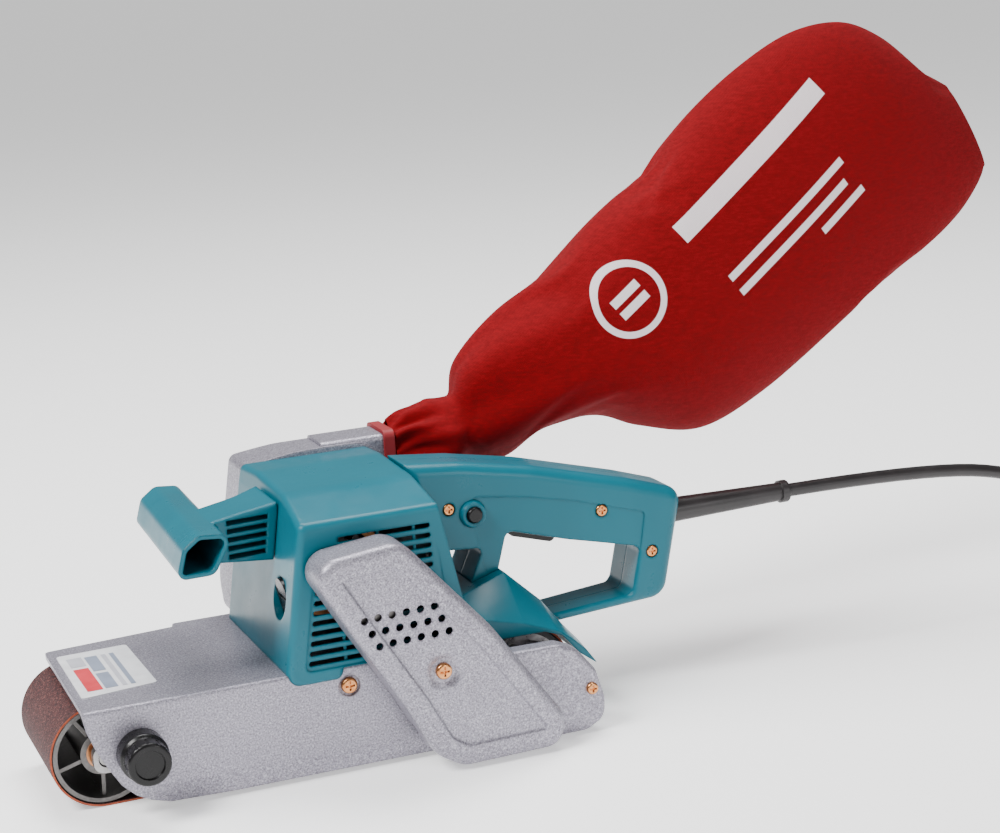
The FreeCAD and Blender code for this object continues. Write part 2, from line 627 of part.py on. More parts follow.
neck_face_cut = prism("neck_face_cut", "XZ", [face_cut_points], 40, 90)
louvres = []
for k in range(5):
    louvres.append(box("neck_louvre_%d" % k, 19.5 + 0.6 * k, 15, 2.7, 74.0, -34, 111.6 + 4.35 * k))
grip_blank = fuse("grip_blank", [grip_outer, neck_round])
grip = cut("grip", grip_blank, [grip_inner, neck_face_cut] + louvres)
node(grip, "front_grip")

# ---------------------------------------------------------------- fan housing and nozzle
fan_side = [(91.5, 57.0, 4), (105.5, 138.2, 5), (133.0, 142.4, 60), (152.0, 142.8), (178.0, 142.4, 20)]
fan_side = fan_side + [(190.0, 120.5, 12), (189.0, 70.0, 30), (176.0, 57.0, 10)]
fan_end = [(far, 57.0), (62.0, 57.0, 22), (D["fan_far"], 72.0, 16), (D["fan_far"], 141.0, 5)]
fan_end = fan_end + [(70.0, 144.0), (far, 144.0)]
fan_side_form = prism("fan_side_form", "XZ", [fan_side], 90, 60)
fan_end_form = prism("fan_end_form", "YZ", [fan_end], 80, 120)
fan_block = common("fan_block", fan_side_form, fan_end_form)
nozzle_body = box("nozzle_body", 41.0, 26.0, "Dims.nozzle_height", 149.0, far + 2.0, 120.5)
fan_scroll = cylinder("fan_scroll", 34.0, 27.2, D["motor_axis_x"], far - 0.1, 94.0)
fan_duct = box("fan_duct", 42.0, 22.0, 16.0, 148.0, far + 4.0, 124.0)
fan_open = cut("fan_open", fan_block, [fan_scroll])
fan_cut = cut("fan_cut", fan_open, [fan_duct])
nozzle_round = soften(
    "nozzle_round", nozzle_body,
    lambda m, e: abs(m.x - 169.5) < 0.1, 3.0)
nozzle_bore = box("nozzle_bore", 43.0, 21.0, 18.6, 148.5, far + 4.5, 123.2)
nozzle_tube = cut("nozzle_tube", nozzle_round, [nozzle_bore])
nozzle_seat = box("nozzle_seat", 41.2, 26.0, 24.1, 149.0, far + 2.0, 120.5)
cuff_seat = box("cuff_seat", 8.0, 31.0, 30.0, 183.9, far - 0.5, 118.2)
fan_final = cut("fan_final", fan_cut, [nozzle_seat, cuff_seat])
node(fan_final, "fan_housing")
node(nozzle_tube, "dust_nozzle")

# ---------------------------------------------------------------- handle base
def base_ring(name, x, low, ridge, crown, half_top, half):
    points = [(x, -half, low), (x, -half, ridge), (x, -half_top, crown), (x, half_top, crown)]
    points = points + [(x, half, ridge), (x, half, low)]
    return ring_wire(name, points)


base_stations = [(187.0, 66.0, 70.0, 30.0), (205.0, 62.0, 74.5, 26.0), (222.0, 57.5, 79.0, 22.5)]
base_stations = base_stations + [(241.0, 50.0, 60.8, 23.5), (251.0, 42.5, 46.8, 28.0), (257.0, 36.5, 39.0, 34.0)]
base_stations = base_stations + [(262.5, 28.6, 29.2, 40.0)]
half = D["base_half"]
base_parts = []
for k in range(len(base_stations) - 1):
    pair = []
    for step, (x, ridge, crown, top) in enumerate(base_stations[k:k + 2]):
        pair.append(base_ring("base_ring_%d_%d" % (k, step), x, 24.0, ridge, crown, top, half - 0.6 * (k + step)))
    base_parts.append(loft("base_loft_%d" % k, pair, True))
base_blank = fuse("base_blank", base_parts)
skirt_under = [(180, 10), (180, 51.6), (203.4, 51.6), (233.2, 51.0), (243.0, 47.2), (253.0, 35.4), (263.5, 27.4), (263.5, 10)]
skirt_cut = prism("base_skirt_cut", "XZ", [skirt_under], 60, 120)
drum_cut = cylinder("base_drum_cut", 29.6, 83.0, spacing, -41.5, axle_z)
belly_cut = box("base_belly_cut", 44.0, 83.0, 32.4, 180.0, -41.5, 24.8)
plate_cut = box("base_plate_cut", 20.1, 120.0, 33.0, 180.0, -60.0, 24.0)
base = cut("base", base_blank, [skirt_cut, drum_cut, belly_cut, plate_cut])
node(base, "handle_base")

# ---------------------------------------------------------------- D handle halves
handle_outer = [(173.2, 142.6), (204, 139.2, 60), (244, 131.4, 80), (301.3, 115.6, 60), (331.5, 105.6, 9)]
handle_outer = handle_outer + [(318.6, 47.2, 11), (256.0, 43.4), (240.0, 61.9), (222.0, 79.0), (205.2, 74.5)]
handle_outer = handle_outer + [(213.6, 92.4, 3), (181.9, 95.0)]
handle_hole = [(227.3, 99.0, 4), (262.0, 88.6, 60), (304.2, 78.0, 4), (298.2, 51.8, 5), (250.6, 48.0), (221.6, 79.4)]
grip_recess = [(207.0, 121.0, 4), (237.2, 116.6, 60), (266.8, 109.8, 60), (307.5, 97.2, 3), (301.4, 62.0, 8)]
grip_recess = grip_recess + [(288.0, 47.8, 4), (240.0, 47.8), (214.0, 79.0), (210.0, 98.0, 3)]
grip_room = [(190, 133.5), (204, 134.5), (244, 126.5), (266, 120.6), (301, 110.5), (318, 104.6), (312, 84)]
grip_room = grip_room + [(306.5, 82), (290, 85.5), (260, 93), (236, 101), (207, 98), (190, 98.4)]


GUARD_START = 322.6
GUARD_HEIGHT = 90.6
GUARD_LENGTH = 80.4


def in_hole(m):
    return 214 < m.x < 306 and 46.5 < m.z < 100.5 and (m.z < 99.4 - (m.x - 228) * 0.27)


def handle_half(name, inner, outer):
    start = max(inner, outer)
    blank = prism(name + "_blank", "XZ", [handle_outer], start, "Dims.handle_half")
    rounded = soften(name + "_round", blank, lambda m, e: abs(m.y - outer) < 0.05 and m.z > 100 and m.x > 176, 6.5)
    hole = prism(name + "_hole", "XZ", [handle_hole], 30, 60)
    room = prism(name + "_room", "XZ", [grip_room], inner + (14.0 if outer > inner else 0.01), 14.0)
    slot = box(name + "_trigger_slot", 34.0, 13.0, 18.0, 227.5, -6.5, 84.0)
    guard_seat = cylinder(name + "_guard_seat", 6.95, 24.0, 312.0, 0, GUARD_HEIGHT, AXIS_X)
    flange_seat = cylinder(name + "_flange_seat", 9.6, 3.8, GUARD_START - 0.2, 0, GUARD_HEIGHT, AXIS_X)
    return cut(name + "_open", rounded, [hole, room, slot, guard_seat, flange_seat])


left = handle_half("left", 0.0, -17.0)
left_hole_round = soften("left_hole_round", left, lambda m, e: abs(m.y + 17.0) < 0.05 and in_hole(m) and e.Length > 6, 2.2)
recess_form = prism("handle_recess", "XZ", [grip_recess], -16.3, 5.0)
lock_bore = cylinder("lock_bore", 6.6, 6, 208.4, -18.0, 111.6)
screw_wells = []
HANDLE_SCREWS = [(195.4, 115.8), (282.2, 101.8), (310.6, 74.6)]
for k, (x, z) in enumerate(HANDLE_SCREWS):
    screw_wells.append(cylinder("handle_well_%d" % k, 3.6, 2.6, x, -17.5, z))
    screw_wells.append(cylinder("handle_bore_%d" % k, 1.7, 20, x, -17.5, z))
left_cut = cut("left_cut", left_hole_round, [recess_form, lock_bore] + screw_wells)
node(left_cut, "handle_left_cover")
right = handle_half("right", 0.0, 17.0)
right_hole_round = soften("right_hole_round", right, lambda m, e: abs(m.y - 17.0) < 0.05 and in_hole(m) and e.Length > 6, 2.2)
right_bores = []
for k, (x, z) in enumerate(HANDLE_SCREWS):
    right_bores.append(cylinder("right_bore_%d" % k, 1.5, 14, x, -1.0, z))
right_cut = cut("right_cut", right_hole_round, right_bores)
node(right_cut, "handle_right_half")

trigger_points = [(229.5, 100.0), (229.5, 96.5, 2), (234.0, 92.6, 3), (257.5, 85.6, 3), (259.8, 92.0), (250, 97.5), (236.0, 100.5)]
trigger = prism("trigger_blank", "XZ", [trigger_points], 5.8, 11.6)
node(trigger, "trigger")
switch_case = box("switch_case", 38, 18, 12.0, 236.0, -9, 105.0)
switch_lead = box("switch_lead", 5, 12, 8, 274.0, -6, 105.2)
switch = fuse("switch", [switch_case, switch_lead])
node(switch, "switch_body")
trigger_coil = spring("trigger_coil", 2.2, 0.4, 1.3, 3.4, place(241.0, 0, 101.1, LEVEL))
node(trigger_coil, "trigger_spring")
lock_section = [(0, 0), (4.2, 0), (4.2, -10.0, 1.2), (0, -10.0)]
lock = turned("lock_blank", lock_section)
node(lock, "lock_button", place(208.4, -11.5, 111.6))
collar_section = [(4.5, 0), (6.5, 0), (6.5, -6.2), (7.4, -6.2), (6.6, -8.8, 0.8), (4.5, -8.8)]
collar = turned("collar_blank", collar_section)
node(collar, "lock_collar", place(208.4, -11.0, 111.6))

# ---------------------------------------------------------------- motor inside
mx = D["motor_axis_x"]
mz = D["motor_axis_z"]
motor_shaft_section = [(0, -84.0 + 1.5), (4.0, -82.5), (4.0, -66.0), (5.0, -66.0), (5.0, 50.0), (4.0, 50.0), (4.0, 74.0, 0.8), (0, 74.0)]
motor_shaft = turned("motor_shaft", motor_shaft_section)
node(motor_shaft, "armature_shaft", place(mx, 0, mz))
core_points = []
for k in range(12):
    for part, radius in ((-0.5, 16.0), (-0.12, 16.0), (-0.10, 20.0), (0.40, 20.0), (0.42, 16.0)):
        angle = 2.0 * math.pi * (k + part + 0.5) / 12
        core_points.append((radius * math.cos(angle), radius * math.sin(angle)))
core = prism("core", "XZ", [core_points, ("circle", 0, 0, 5.0)], 26.0, 44.0)
node(core, "armature_core", place(mx, 0, mz))
commutator_parts = [turned("commutator_barrel", [(5.0, -44.0), (11.0, -44.0), (11.0, -30.0), (12.6, -30.0), (12.6, -27.0), (5.0, -27.0)])]
commutator_slots = []
for k in range(12):
    turn_slot = FreeCAD.Rotation(Vector(0, 1, 0), 30.0 * k)
    groove = box("commutator_groove_%d" % k, 1.2, 15.0, 0.7, 0, 0, 0)
    groove.Placement = FreeCAD.Placement(turn_slot.multVec(Vector(10.2, -45.0, -0.35)), turn_slot)
    commutator_slots.append(groove)
commutator = cut("commutator_cut", commutator_parts[0], commutator_slots)
node(commutator, "commutator", place(mx, 0, mz))
stator_ring = [(21.0, -16.0), (29.5, -16.0), (29.5, 24.0), (21.0, 24.0)]
stator = turned("stator", stator_ring)
stator_flats = [box("stator_flat_a", 70, 60, 10, -35, -20, 27.0), box("stator_flat_b", 70, 60, 10, -35, -20, -37.0)]
stator_cut = cut("stator_cut", stator, stator_flats)
node(stator_cut, "field_stator", place(mx, 0, mz))
coil_a = turned("coil_a", [(21.6, -21.0), (27.5, -21.0, 2), (27.5, -16.2, 1), (21.6, -16.2)])
coil_b = turned("coil_b", [(21.6, 24.2), (27.5, 24.2, 1), (27.5, 29.5, 2), (21.6, 29.5)])
coils = group("coils", [coil_a, coil_b])
node(coils, "field_coils", place(mx, 0, mz))
brush_front = box("brush_front", 8.5, 7.0, 5.0, mx - 19.8, -40.5, mz - 2.5)
brush_rear = box("brush_rear", 8.5, 7.0, 5.0, mx + 11.3, -40.5, mz - 2.5)
brushes = group("brushes", [brush_front, brush_rear])
node(brushes, "carbon_brushes")
holder_parts = []
for k, (start, run) in enumerate(((mx - 25.0, 11.0), (mx + 14.0, 11.0))):
    outer = box("holder_outer_%d" % k, run, 10.0, 8.0, start, -42.0, mz - 4.0)
    inner = box("holder_inner_%d" % k, run + 1, 7.2, 5.2, start - 0.5, -40.6, mz - 2.6)
    holder_parts.append(cut("holder_%d" % k, outer, [inner]))
holders = group("holders", holder_parts)
node(holders, "brush_holders")
cap_lean = brush_tilt
cap_front = cylinder("cap_front", 10.0, 3.0, 96.6, -39.0, 91.2, cap_lean)
cap_front_slot = box("cap_front_slot", 1.6, 13.0, 1.6, 0, 0, 0)
cap_front_slot.Placement = FreeCAD.Placement(Vector(95.9, -45.5, 90.5), FreeCAD.Rotation(Vector(0, 1, 0), -9.4))
cap_front_cut = cut("cap_front_cut", cap_front, [cap_front_slot])
cap_rear = cylinder("cap_rear", 8.0, 3.0, 176.0, -39.0, 95.0, AXIS_X)
caps = group("caps", [cap_front_cut, cap_rear])
node(caps, "brush_caps")
motor_bearing_near = bearing("motor_bearing_near", 5.0, 9.0, 6.0, 0.0)
motor_bearing_near.Placement = place(0, -59.0, 0)
motor_bearing_far = bearing("motor_bearing_far", 5.0, 9.0, 6.0, 0.0)
motor_bearing_far.Placement = place(0, 40.0, 0)
motor_bearings = group("motor_bearings", [motor_bearing_near, motor_bearing_far])
node(motor_bearings, "armature_bearings", place(mx, 0, mz))
spider_plate = cylinder("spider_plate", 31.5, 7.0, mx, 39.5, mz)
spider_bore = cylinder("spider_bore", 9.0, 9.0, mx, 38.5, mz)
spider_gaps = []
for k in range(4):
    angle = math.radians(45 + 90 * k)
    spider_gaps.append(cylinder("spider_gap_%d" % k, 8.0, 9.0, mx + 20 * math.cos(angle), 38.5, mz + 20 * math.sin(angle)))
spider = cut("spider", spider_plate, [spider_bore] + spider_gaps)
node(spider, "bearing_spider")
fan_disc = turned("fan_disc", [(4.0, 68.0), (30.0, 68.0), (30.0, 70.0), (4.0, 70.0)])
fan_hub = turned("fan_hub", [(4.0, 52.0), (9.0, 52.0), (9.0, 68.0), (4.0, 68.0)])
blades = []
for k in range(8):
    turn_vane = FreeCAD.Rotation(Vector(0, 1, 0), 45.0 * k)
    vane = box("fan_vane_%d" % k, 21.4, 14.0, 1.8, 0, 0, 0)
    vane.Placement = FreeCAD.Placement(turn_vane.multVec(Vector(8.4, 54.5, -0.9)), turn_vane)
    blades.append(vane)
impeller = fuse("impeller", [fan_disc, fan_hub] + blades)
node(impeller, "dust_fan", place(mx, 0, mz))

# ---------------------------------------------------------------- drive belt and lay shaft
small_pulley = turned("small_pulley", [(4.0, -82.0), (13.0, -82.0), (13.0, -80.8), (11.0, -80.8), (11.0, -73.4),
                                       (13.0, -73.4), (13.0, -72.2), (4.0, -72.2)])
node(small_pulley, "small_pulley", place(mx, 0, mz))
lx = D["lay_axis_x"]
lz = D["lay_axis_z"]
large_pulley = turned("large_pulley", [(5.0, -82.0), (19.5, -82.0), (19.5, -80.8), (17.5, -80.8), (17.5, -73.4),
                                       (19.5, -73.4), (19.5, -72.2), (5.0, -72.2)])
node(large_pulley, "large_pulley", place(lx, 0, lz))
drive_wheels = (mx, mz, 11.0, lx, lz, 17.5)
drive_belt = loop_band("drive_belt_band", drive_wheels, 1.6, -73.6, 7.0)
node(drive_belt, "drive_belt")
lay_shaft = turned("lay_shaft", [(0, -82.5), (5.0, -82.5, 0.8), (5.0, -56.2, 0.8), (0, -56.2)])
node(lay_shaft, "lay_shaft", place(lx, 0, lz))
pinion_outline = gear_loop(18, 9.4, 11.9, 0.66, 0.1465)
pinion = prism("pinion_blank", "XZ", [pinion_outline, ("circle", 0, 0, 5.0)], -61.2, 6.0)
node(pinion, "pinion", place(lx, 0, lz))
lay_bearing = bearing("lay_bearing", 5.0, 8.0, 4.0, -60.0)
node(lay_bearing, "lay_shaft_bearing", place(lx, -60.0, lz))

# ---------------------------------------------------------------- plates and screws
label_points = [(-6.9, 31.5, 2), (-8.0, -39.0, 2), (30.8, -33.5, 2), (30.0, 33.0, 2)]
label_plate = prism("label_plate", "XY", [label_points], 57.0, 0.5)
node(label_plate, "nameplate")
handle_screw_parts = []
for k, (x, z) in enumerate(HANDLE_SCREWS):
    handle_screw_parts.append(screw("handle_screw_%d" % k, x, -14.9, z, 3.4, 2.3, 1.5, 18.0))
node(group("handle_screws_set", handle_screw_parts), "handle_screws")
tray_screw_head = screw("tray_screw", 163.4, -tray_face + 3.1, 53.6, 4.2, 2.6, 2.2, 12.9)
node(tray_screw_head, "belt_cover_screw")
frame_screw = screw("frame_screw_form", 121.5, -wall + 1.5, 46.5, 4.2, 2.6, 2.1, 8.0)
node(frame_screw, "frame_screw")
end_screw = screw("end_screw_form", 248.2, -wall - 10.0, 24.5, 3.2, 2.2, 1.5, 2.3)
node(end_screw, "end_cover_screw")

# ---------------------------------------------------------------- dust bag
def bag_ring(name, top, bottom, half_width):
    obj = doc.addObject("Part::Ellipse", name)
    tx, tz = top
    bx, bz = bottom
    rise = math.hypot(tx - bx, tz - bz) / 2.0
    long_way = max(rise, half_width)
    short_way = min(rise, half_width)
    obj.MajorRadius = long_way
    obj.MinorRadius = short_way
    up = Vector((tx - bx) / (2 * rise), 0, (tz - bz) / (2 * rise))
    side = Vector(0, 1, 0)
    x_axis = up if rise >= half_width else side
    y_axis = side if rise >= half_width else up * -1.0
    z_axis = x_axis.cross(y_axis)
    turn = FreeCAD.Rotation(x_axis, y_axis, z_axis, "ZXY")
    obj.Placement = place((tx + bx) / 2.0, 63.0, (tz + bz) / 2.0, turn)
    return obj


BAG = [((190.6, 149.0), (190.6, 118.0), 15.4), ((206, 160), (208, 118), 19), ((236, 176), (248, 119), 24)]
BAG = BAG + [((270, 212), (290, 127), 30), ((318, 249), (349, 120), 36), ((366, 293), (421, 132), 39)]
BAG = BAG + [((424, 333), (482, 163), 38), ((500, 343), (546, 212), 29), ((553, 303), (577, 238), 13)]
bag_rings = []
for k, (top, bottom, half_width) in enumerate(BAG):
    bag_rings.append(bag_ring("bag_ring_%d" % k, top, bottom, half_width))
bag = loft("bag_loft", bag_rings)
node(bag, "dust_bag")
cuff_outer = box("cuff_outer", 6.0, 30.0, 28.0, 184.2, far, 118.5)
cuff_round = soften("cuff_round", cuff_outer, lambda m, e: abs(m.x - 187.2) < 0.1, 4.0)
cuff_hole = soften("cuff_hole", box("cuff_inner", 7.0, 26.0, 24.0, 183.7, far + 2.0, 120.5),
                   lambda m, e: abs(m.x - 187.2) < 0.1, 3.0)
cuff = cut("cuff", cuff_round, [cuff_hole])
node(cuff, "bag_cuff")

# ---------------------------------------------------------------- cord set
guard_bore = D["cord_radius"] + 0.05
guard_section = [(guard_bore, 0), (9.5, 0), (9.5, 3.4), (6.9, 3.4), (6.9, 8.0), (5.2, GUARD_LENGTH - 5.0)]
guard_section = guard_section + [(6.3, GUARD_LENGTH - 5.0), (6.3, GUARD_LENGTH, 1.0), (guard_bore, GUARD_LENGTH)]
guard_turn = turned("guard_turn", guard_section)
guard_rot = FreeCAD.Rotation(Vector(0, 0, 1), -90)
node(guard_turn, "cord_guard", place(GUARD_START, 0, GUARD_HEIGHT, guard_rot))

CORD = [(403.0, 0.0, 90.6), (490.0, 0.0, 90.0), (560.0, 0.0, 78.0), (616.0, 0.0, 43.0), (655.0, 0.0, 8.5)]
CORD = CORD + [(695.0, 0.0, 4.2)]


def cord_path(name, points):
    corners = [Vector(*p) for p in points]
    pieces = []
    start = corners[0]
    for i in range(1, len(corners) - 1):
        here = corners[i]
        back = corners[i - 1] - here
        ahead = corners[i + 1] - here
        short = min(back.Length, ahead.Length)
        back.normalize()
        ahead.normalize()
        half_turn = (math.pi - back.getAngle(ahead)) / 2.0
        reach = 0.45 * short
        radius = reach / math.tan(half_turn)
        print("cord corner", i, "radius", round(radius, 1), "mm")
        first = here + back * reach
        last = here + ahead * reach
        middle = back + ahead
        middle.normalize()
        centre = here + middle * math.hypot(reach, radius)
        pieces.append(Part.LineSegment(start, first).toShape())
        pieces.append(Part.Arc(first, centre - middle * radius, last).toShape())
        start = last
    pieces.append(Part.LineSegment(start, corners[-1]).toShape())
    path = doc.addObject("Part::Feature", name)
    path.Shape = Part.Wire(pieces)
    return path


cord_spine = cord_path("cord_spine", CORD)
cord_section = doc.addObject("Part::Circle", "cord_section")
cord_section.setExpression("Radius", "Dims.cord_radius")
heading = Vector(*CORD[1]) - Vector(*CORD[0])
cord_section.Placement = FreeCAD.Placement(Vector(*CORD[0]), FreeCAD.Rotation(Vector(0, 0, 1), heading))
cord_sweep = doc.addObject("Part::Sweep", "cord_sweep")
cord_sweep.Sections = [cord_section]
cord_sweep.Spine = (cord_spine, [])
cord_sweep.Solid = True
cord_sweep.Frenet = False
node(cord_sweep, "cord_tube")
coil_y = 50.0
tube_side = coil_y - D["cord_radius"]
coil_x = CORD[-1][0] + math.sqrt(D["coil_outer"] ** 2 - tube_side ** 2) + 0.5
coil = turned("coil_blank", [(D["coil_inner"], 0), (D["coil_outer"], 0, 6), (D["coil_outer"], D["coil_height"], 6),
                             (D["coil_inner"], D["coil_height"], 6)])
lay_flat = FreeCAD.Rotation(Vector(1, 0, 0), 90)
node(coil, "cord_coil", place(coil_x, coil_y, 0.3, lay_flat))
plug_section = [(0, 0), (5.0, 0), (6.0, 18.0), (11.0, 22.0, 2), (12.5, 42.0, 2), (0, 42.0)]
plug_body = turned("plug_body", plug_section)
plug_flat = [box("plug_flat_a", 30, 50, 10, -15, -2, 8.5), box("plug_flat_b", 30, 50, 10, -15, -2, -18.5)]
plug_form = cut("plug_form", plug_body, plug_flat)
plug_pins = [cylinder("plug_pin_a", 2.0, 18.0, -6.35, 41.9, 0), cylinder("plug_pin_b", 2.0, 18.0, 6.35, 41.9, 0)]
plug = fuse("plug_all", [plug_form] + plug_pins)
node(plug, "plug", place(coil_x + D["coil_outer"] - D["cord_radius"], coil_y + 31.0, 9.0))

doc.recompute()

# ---------------------------------------------------------------- checks and export
problems = []
for obj in doc.Objects:
    states = obj.State
    if "Invalid" in states or "Error" in states:
        problems.append("%s: %s" % (obj.Label, states))
for label, obj in NODES:
    shape = obj.Shape
    if shape.isNull() or not shape.isValid() or len(shape.Solids) == 0:
        problems.append("%s: shape null, invalid or without a solid" % label)
for line in problems:
    print("PROBLEM", line)
os.makedirs("parts", exist_ok=True)
for label, obj in NODES:
    if obj.Shape.isNull():
        continue
    obj.Shape.exportStep("parts/%s.step" % label)
    bounds = obj.Shape.BoundBox
    print("%-22s solids %d  x %.1f..%.1f  y %.1f..%.1f  z %.1f..%.1f" % (
        label, len(obj.Shape.Solids), bounds.XMin, bounds.XMax, bounds.YMin, bounds.YMax, bounds.ZMin, bounds.ZMax))
print("nodes", len(NODES))
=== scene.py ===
import json
import math

import bmesh
import bpy
import numpy as np
from mathutils import Matrix, Quaternion, Vector


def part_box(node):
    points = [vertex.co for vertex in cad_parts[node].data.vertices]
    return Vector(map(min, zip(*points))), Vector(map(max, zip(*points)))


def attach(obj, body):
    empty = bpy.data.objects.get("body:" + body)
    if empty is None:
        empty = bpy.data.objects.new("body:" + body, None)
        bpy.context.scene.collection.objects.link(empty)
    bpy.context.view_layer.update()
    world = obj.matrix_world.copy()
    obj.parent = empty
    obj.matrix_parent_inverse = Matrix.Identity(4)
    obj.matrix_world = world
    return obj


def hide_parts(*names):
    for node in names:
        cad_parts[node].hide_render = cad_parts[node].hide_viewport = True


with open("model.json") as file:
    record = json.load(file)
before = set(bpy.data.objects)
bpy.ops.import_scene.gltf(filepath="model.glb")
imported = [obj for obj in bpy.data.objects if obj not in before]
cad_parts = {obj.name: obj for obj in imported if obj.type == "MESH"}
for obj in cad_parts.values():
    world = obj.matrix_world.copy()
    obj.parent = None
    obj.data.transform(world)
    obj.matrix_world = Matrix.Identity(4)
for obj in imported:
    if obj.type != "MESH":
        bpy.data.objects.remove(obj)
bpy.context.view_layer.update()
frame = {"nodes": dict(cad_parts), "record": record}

MM = 0.001
SHIFT = -0.112                     # the row origin lies under the middle of the sander
FLOOR = 0.0


def row(x, y, z):
    """A point of part.py's own numbers, in millimetres, as a point of the row frame in metres."""
    return Vector((x * MM + SHIFT, y * MM, z * MM))


# ---------------------------------------------------------------- camera
CAMERA_AZIMUTH = math.radians(21.09)
CAMERA_RISE = math.radians(13.002)
CAMERA_ROLL = math.radians(-3.465)
CAMERA_PLACE = Vector((-0.3030, -1.10085, 0.42961))
CAMERA_LENS = 82.37


def make_camera():
    data = bpy.data.cameras.new("camera")
    data.lens = CAMERA_LENS
    data.sensor_width = 36.0
    data.clip_start = 0.01
    data.clip_end = 100.0
    obj = bpy.data.objects.new("camera", data)
    bpy.context.collection.objects.link(obj)
    away = Vector((-math.sin(CAMERA_AZIMUTH) * math.cos(CAMERA_RISE),
                   -math.cos(CAMERA_AZIMUTH) * math.cos(CAMERA_RISE),
                   math.sin(CAMERA_RISE)))
    turn = away.to_track_quat("Z", "Y") @ Quaternion((0, 0, 1), CAMERA_ROLL)
    obj.matrix_world = Matrix.Translation(CAMERA_PLACE) @ turn.to_matrix().to_4x4()
    bpy.context.scene.camera = obj


make_camera()


# ---------------------------------------------------------------- materials
class Nodes:
    """A material's node tree, built a node at a time, with textures in object coordinates, in metres."""

    def __init__(self, name):
        self.material = bpy.data.materials.new(name)
        self.material.use_nodes = True
        self.tree = self.material.node_tree
        self.tree.nodes.clear()
        self.output = self.add("ShaderNodeOutputMaterial")
        self.shader = self.add("ShaderNodeBsdfPrincipled")
        self.link(self.shader, "BSDF", self.output, "Surface")
        self.coords = self.add("ShaderNodeTexCoord")
        self.place = self.coords.outputs["Object"]

    def add(self, kind, **values):
        node = self.tree.nodes.new(kind)
        for key, value in values.items():
            setattr(node, key, value)
        return node

    def link(self, a, out, b, into):
        self.tree.links.new(a.outputs[out], b.inputs[into])

    def join(self, socket, b, into):
        self.tree.links.new(socket, b.inputs[into])

    def noise(self, scale, detail=3.0, rough=0.55, stretch=(1, 1, 1), twist=0.0):
        place = self.place
        if stretch != (1, 1, 1):
            mapping = self.add("ShaderNodeMapping")
            mapping.inputs["Scale"].default_value = stretch
            self.join(self.place, mapping, "Vector")
            place = mapping.outputs["Vector"]
        node = self.add("ShaderNodeTexNoise")
        node.inputs["Scale"].default_value = scale
        node.inputs["Detail"].default_value = detail
        node.inputs["Roughness"].default_value = rough
        node.inputs["Distortion"].default_value = twist
        self.join(place, node, "Vector")
        return node.outputs["Fac"]

    def cells(self, scale, feature="F1", output="Distance"):
        node = self.add("ShaderNodeTexVoronoi", feature=feature)
        node.inputs["Scale"].default_value = scale
        self.join(self.place, node, "Vector")
        return node.outputs[output]

    def ramp(self, socket, stops):
        node = self.add("ShaderNodeValToRGB")
        ramp = node.color_ramp
        while len(ramp.elements) < len(stops):
            ramp.elements.new(0.5)
        for element, (position, colour) in zip(ramp.elements, stops):
            element.position = position
            element.color = (*colour, 1.0) if len(colour) == 3 else colour
        self.join(socket, node, "Fac")
        return node.outputs["Color"]

    def range(self, socket, low, high, to_low, to_high):
        node = self.add("ShaderNodeMapRange")
        node.inputs["From Min"].default_value = low
        node.inputs["From Max"].default_value = high
        node.inputs["To Min"].default_value = to_low
        node.inputs["To Max"].default_value = to_high
        self.join(socket, node, "Value")
        return node.outputs["Result"]

    def math(self, operation, a, b=None):
        node = self.add("ShaderNodeMath", operation=operation)
        for k, value in enumerate((a, b)):
            if value is None:
                continue
            if isinstance(value, (int, float)):
                node.inputs[k].default_value = value
            else:
                self.tree.links.new(value, node.inputs[k])
        return node.outputs["Value"]

    def mix(self, factor, a, b, blend="MIX"):
        node = self.add("ShaderNodeMix", data_type="RGBA", blend_type=blend)
        sockets = (node.inputs[0], node.inputs[6], node.inputs[7])
        for socket, value in zip(sockets, (factor, a, b)):
            if isinstance(value, (int, float)):
                socket.default_value = value
            elif isinstance(value, tuple):
                socket.default_value = (*value, 1.0)
            else:
                self.tree.links.new(value, socket)
        return node.outputs[2]

    def bump(self, height, strength, distance, under=None):
        node = self.add("ShaderNodeBump")
        node.inputs["Strength"].default_value = strength
        node.inputs["Distance"].default_value = distance
        self.join(height, node, "Height")
        if under is not None:
            self.join(under, node, "Normal")
        return node.outputs["Normal"]

    def soft_edge(self, radius):
        node = self.add("ShaderNodeBevel", samples=4)
        node.inputs["Radius"].default_value = radius
        return node.outputs["Normal"]

    def finish(self, colour=None, rough=None, normal=None, **values):
        if colour is not None:
            self.put("Base Color", colour)
        if rough is not None:
            self.put("Roughness", rough)
        if normal is not None:
            self.join(normal, self.shader, "Normal")
        for name, value in values.items():
            self.put(name.replace("_", " "), value)
        return self.material

    def put(self, name, value):
        socket = self.shader.inputs[name]
        if isinstance(value, tuple):
            socket.default_value = (*value, 1.0)
        elif isinstance(value, (int, float)):
            socket.default_value = value
        else:
            self.tree.links.new(value, socket)


def teal_plastic():
    """Moulded body plastic: even teal, a very fine spark texture, faint flow marks and handling marks."""
    n = Nodes("teal_plastic")
    flow = n.noise(9.0, 4.0, 0.6, stretch=(1, 1, 0.35))
    colour = n.ramp(flow, [(0.30, (0.000, 0.098, 0.138)), (0.70, (0.000, 0.124, 0.172))])
    specks = n.noise(1300.0, 2.0)
    colour = n.mix(n.range(specks, 0.60, 0.75, 0.0, 0.16), colour, (0.002, 0.15, 0.20))
    handled = n.noise(34.0, 5.0, 0.7)
    rough = n.range(handled, 0.35, 0.70, 0.27, 0.38)
    normal = n.bump(n.noise(1500.0, 2.0), 0.06, 0.0002, n.soft_edge(0.0020))
    return n.finish(colour, rough, normal, Specular_IOR_Level=0.3)


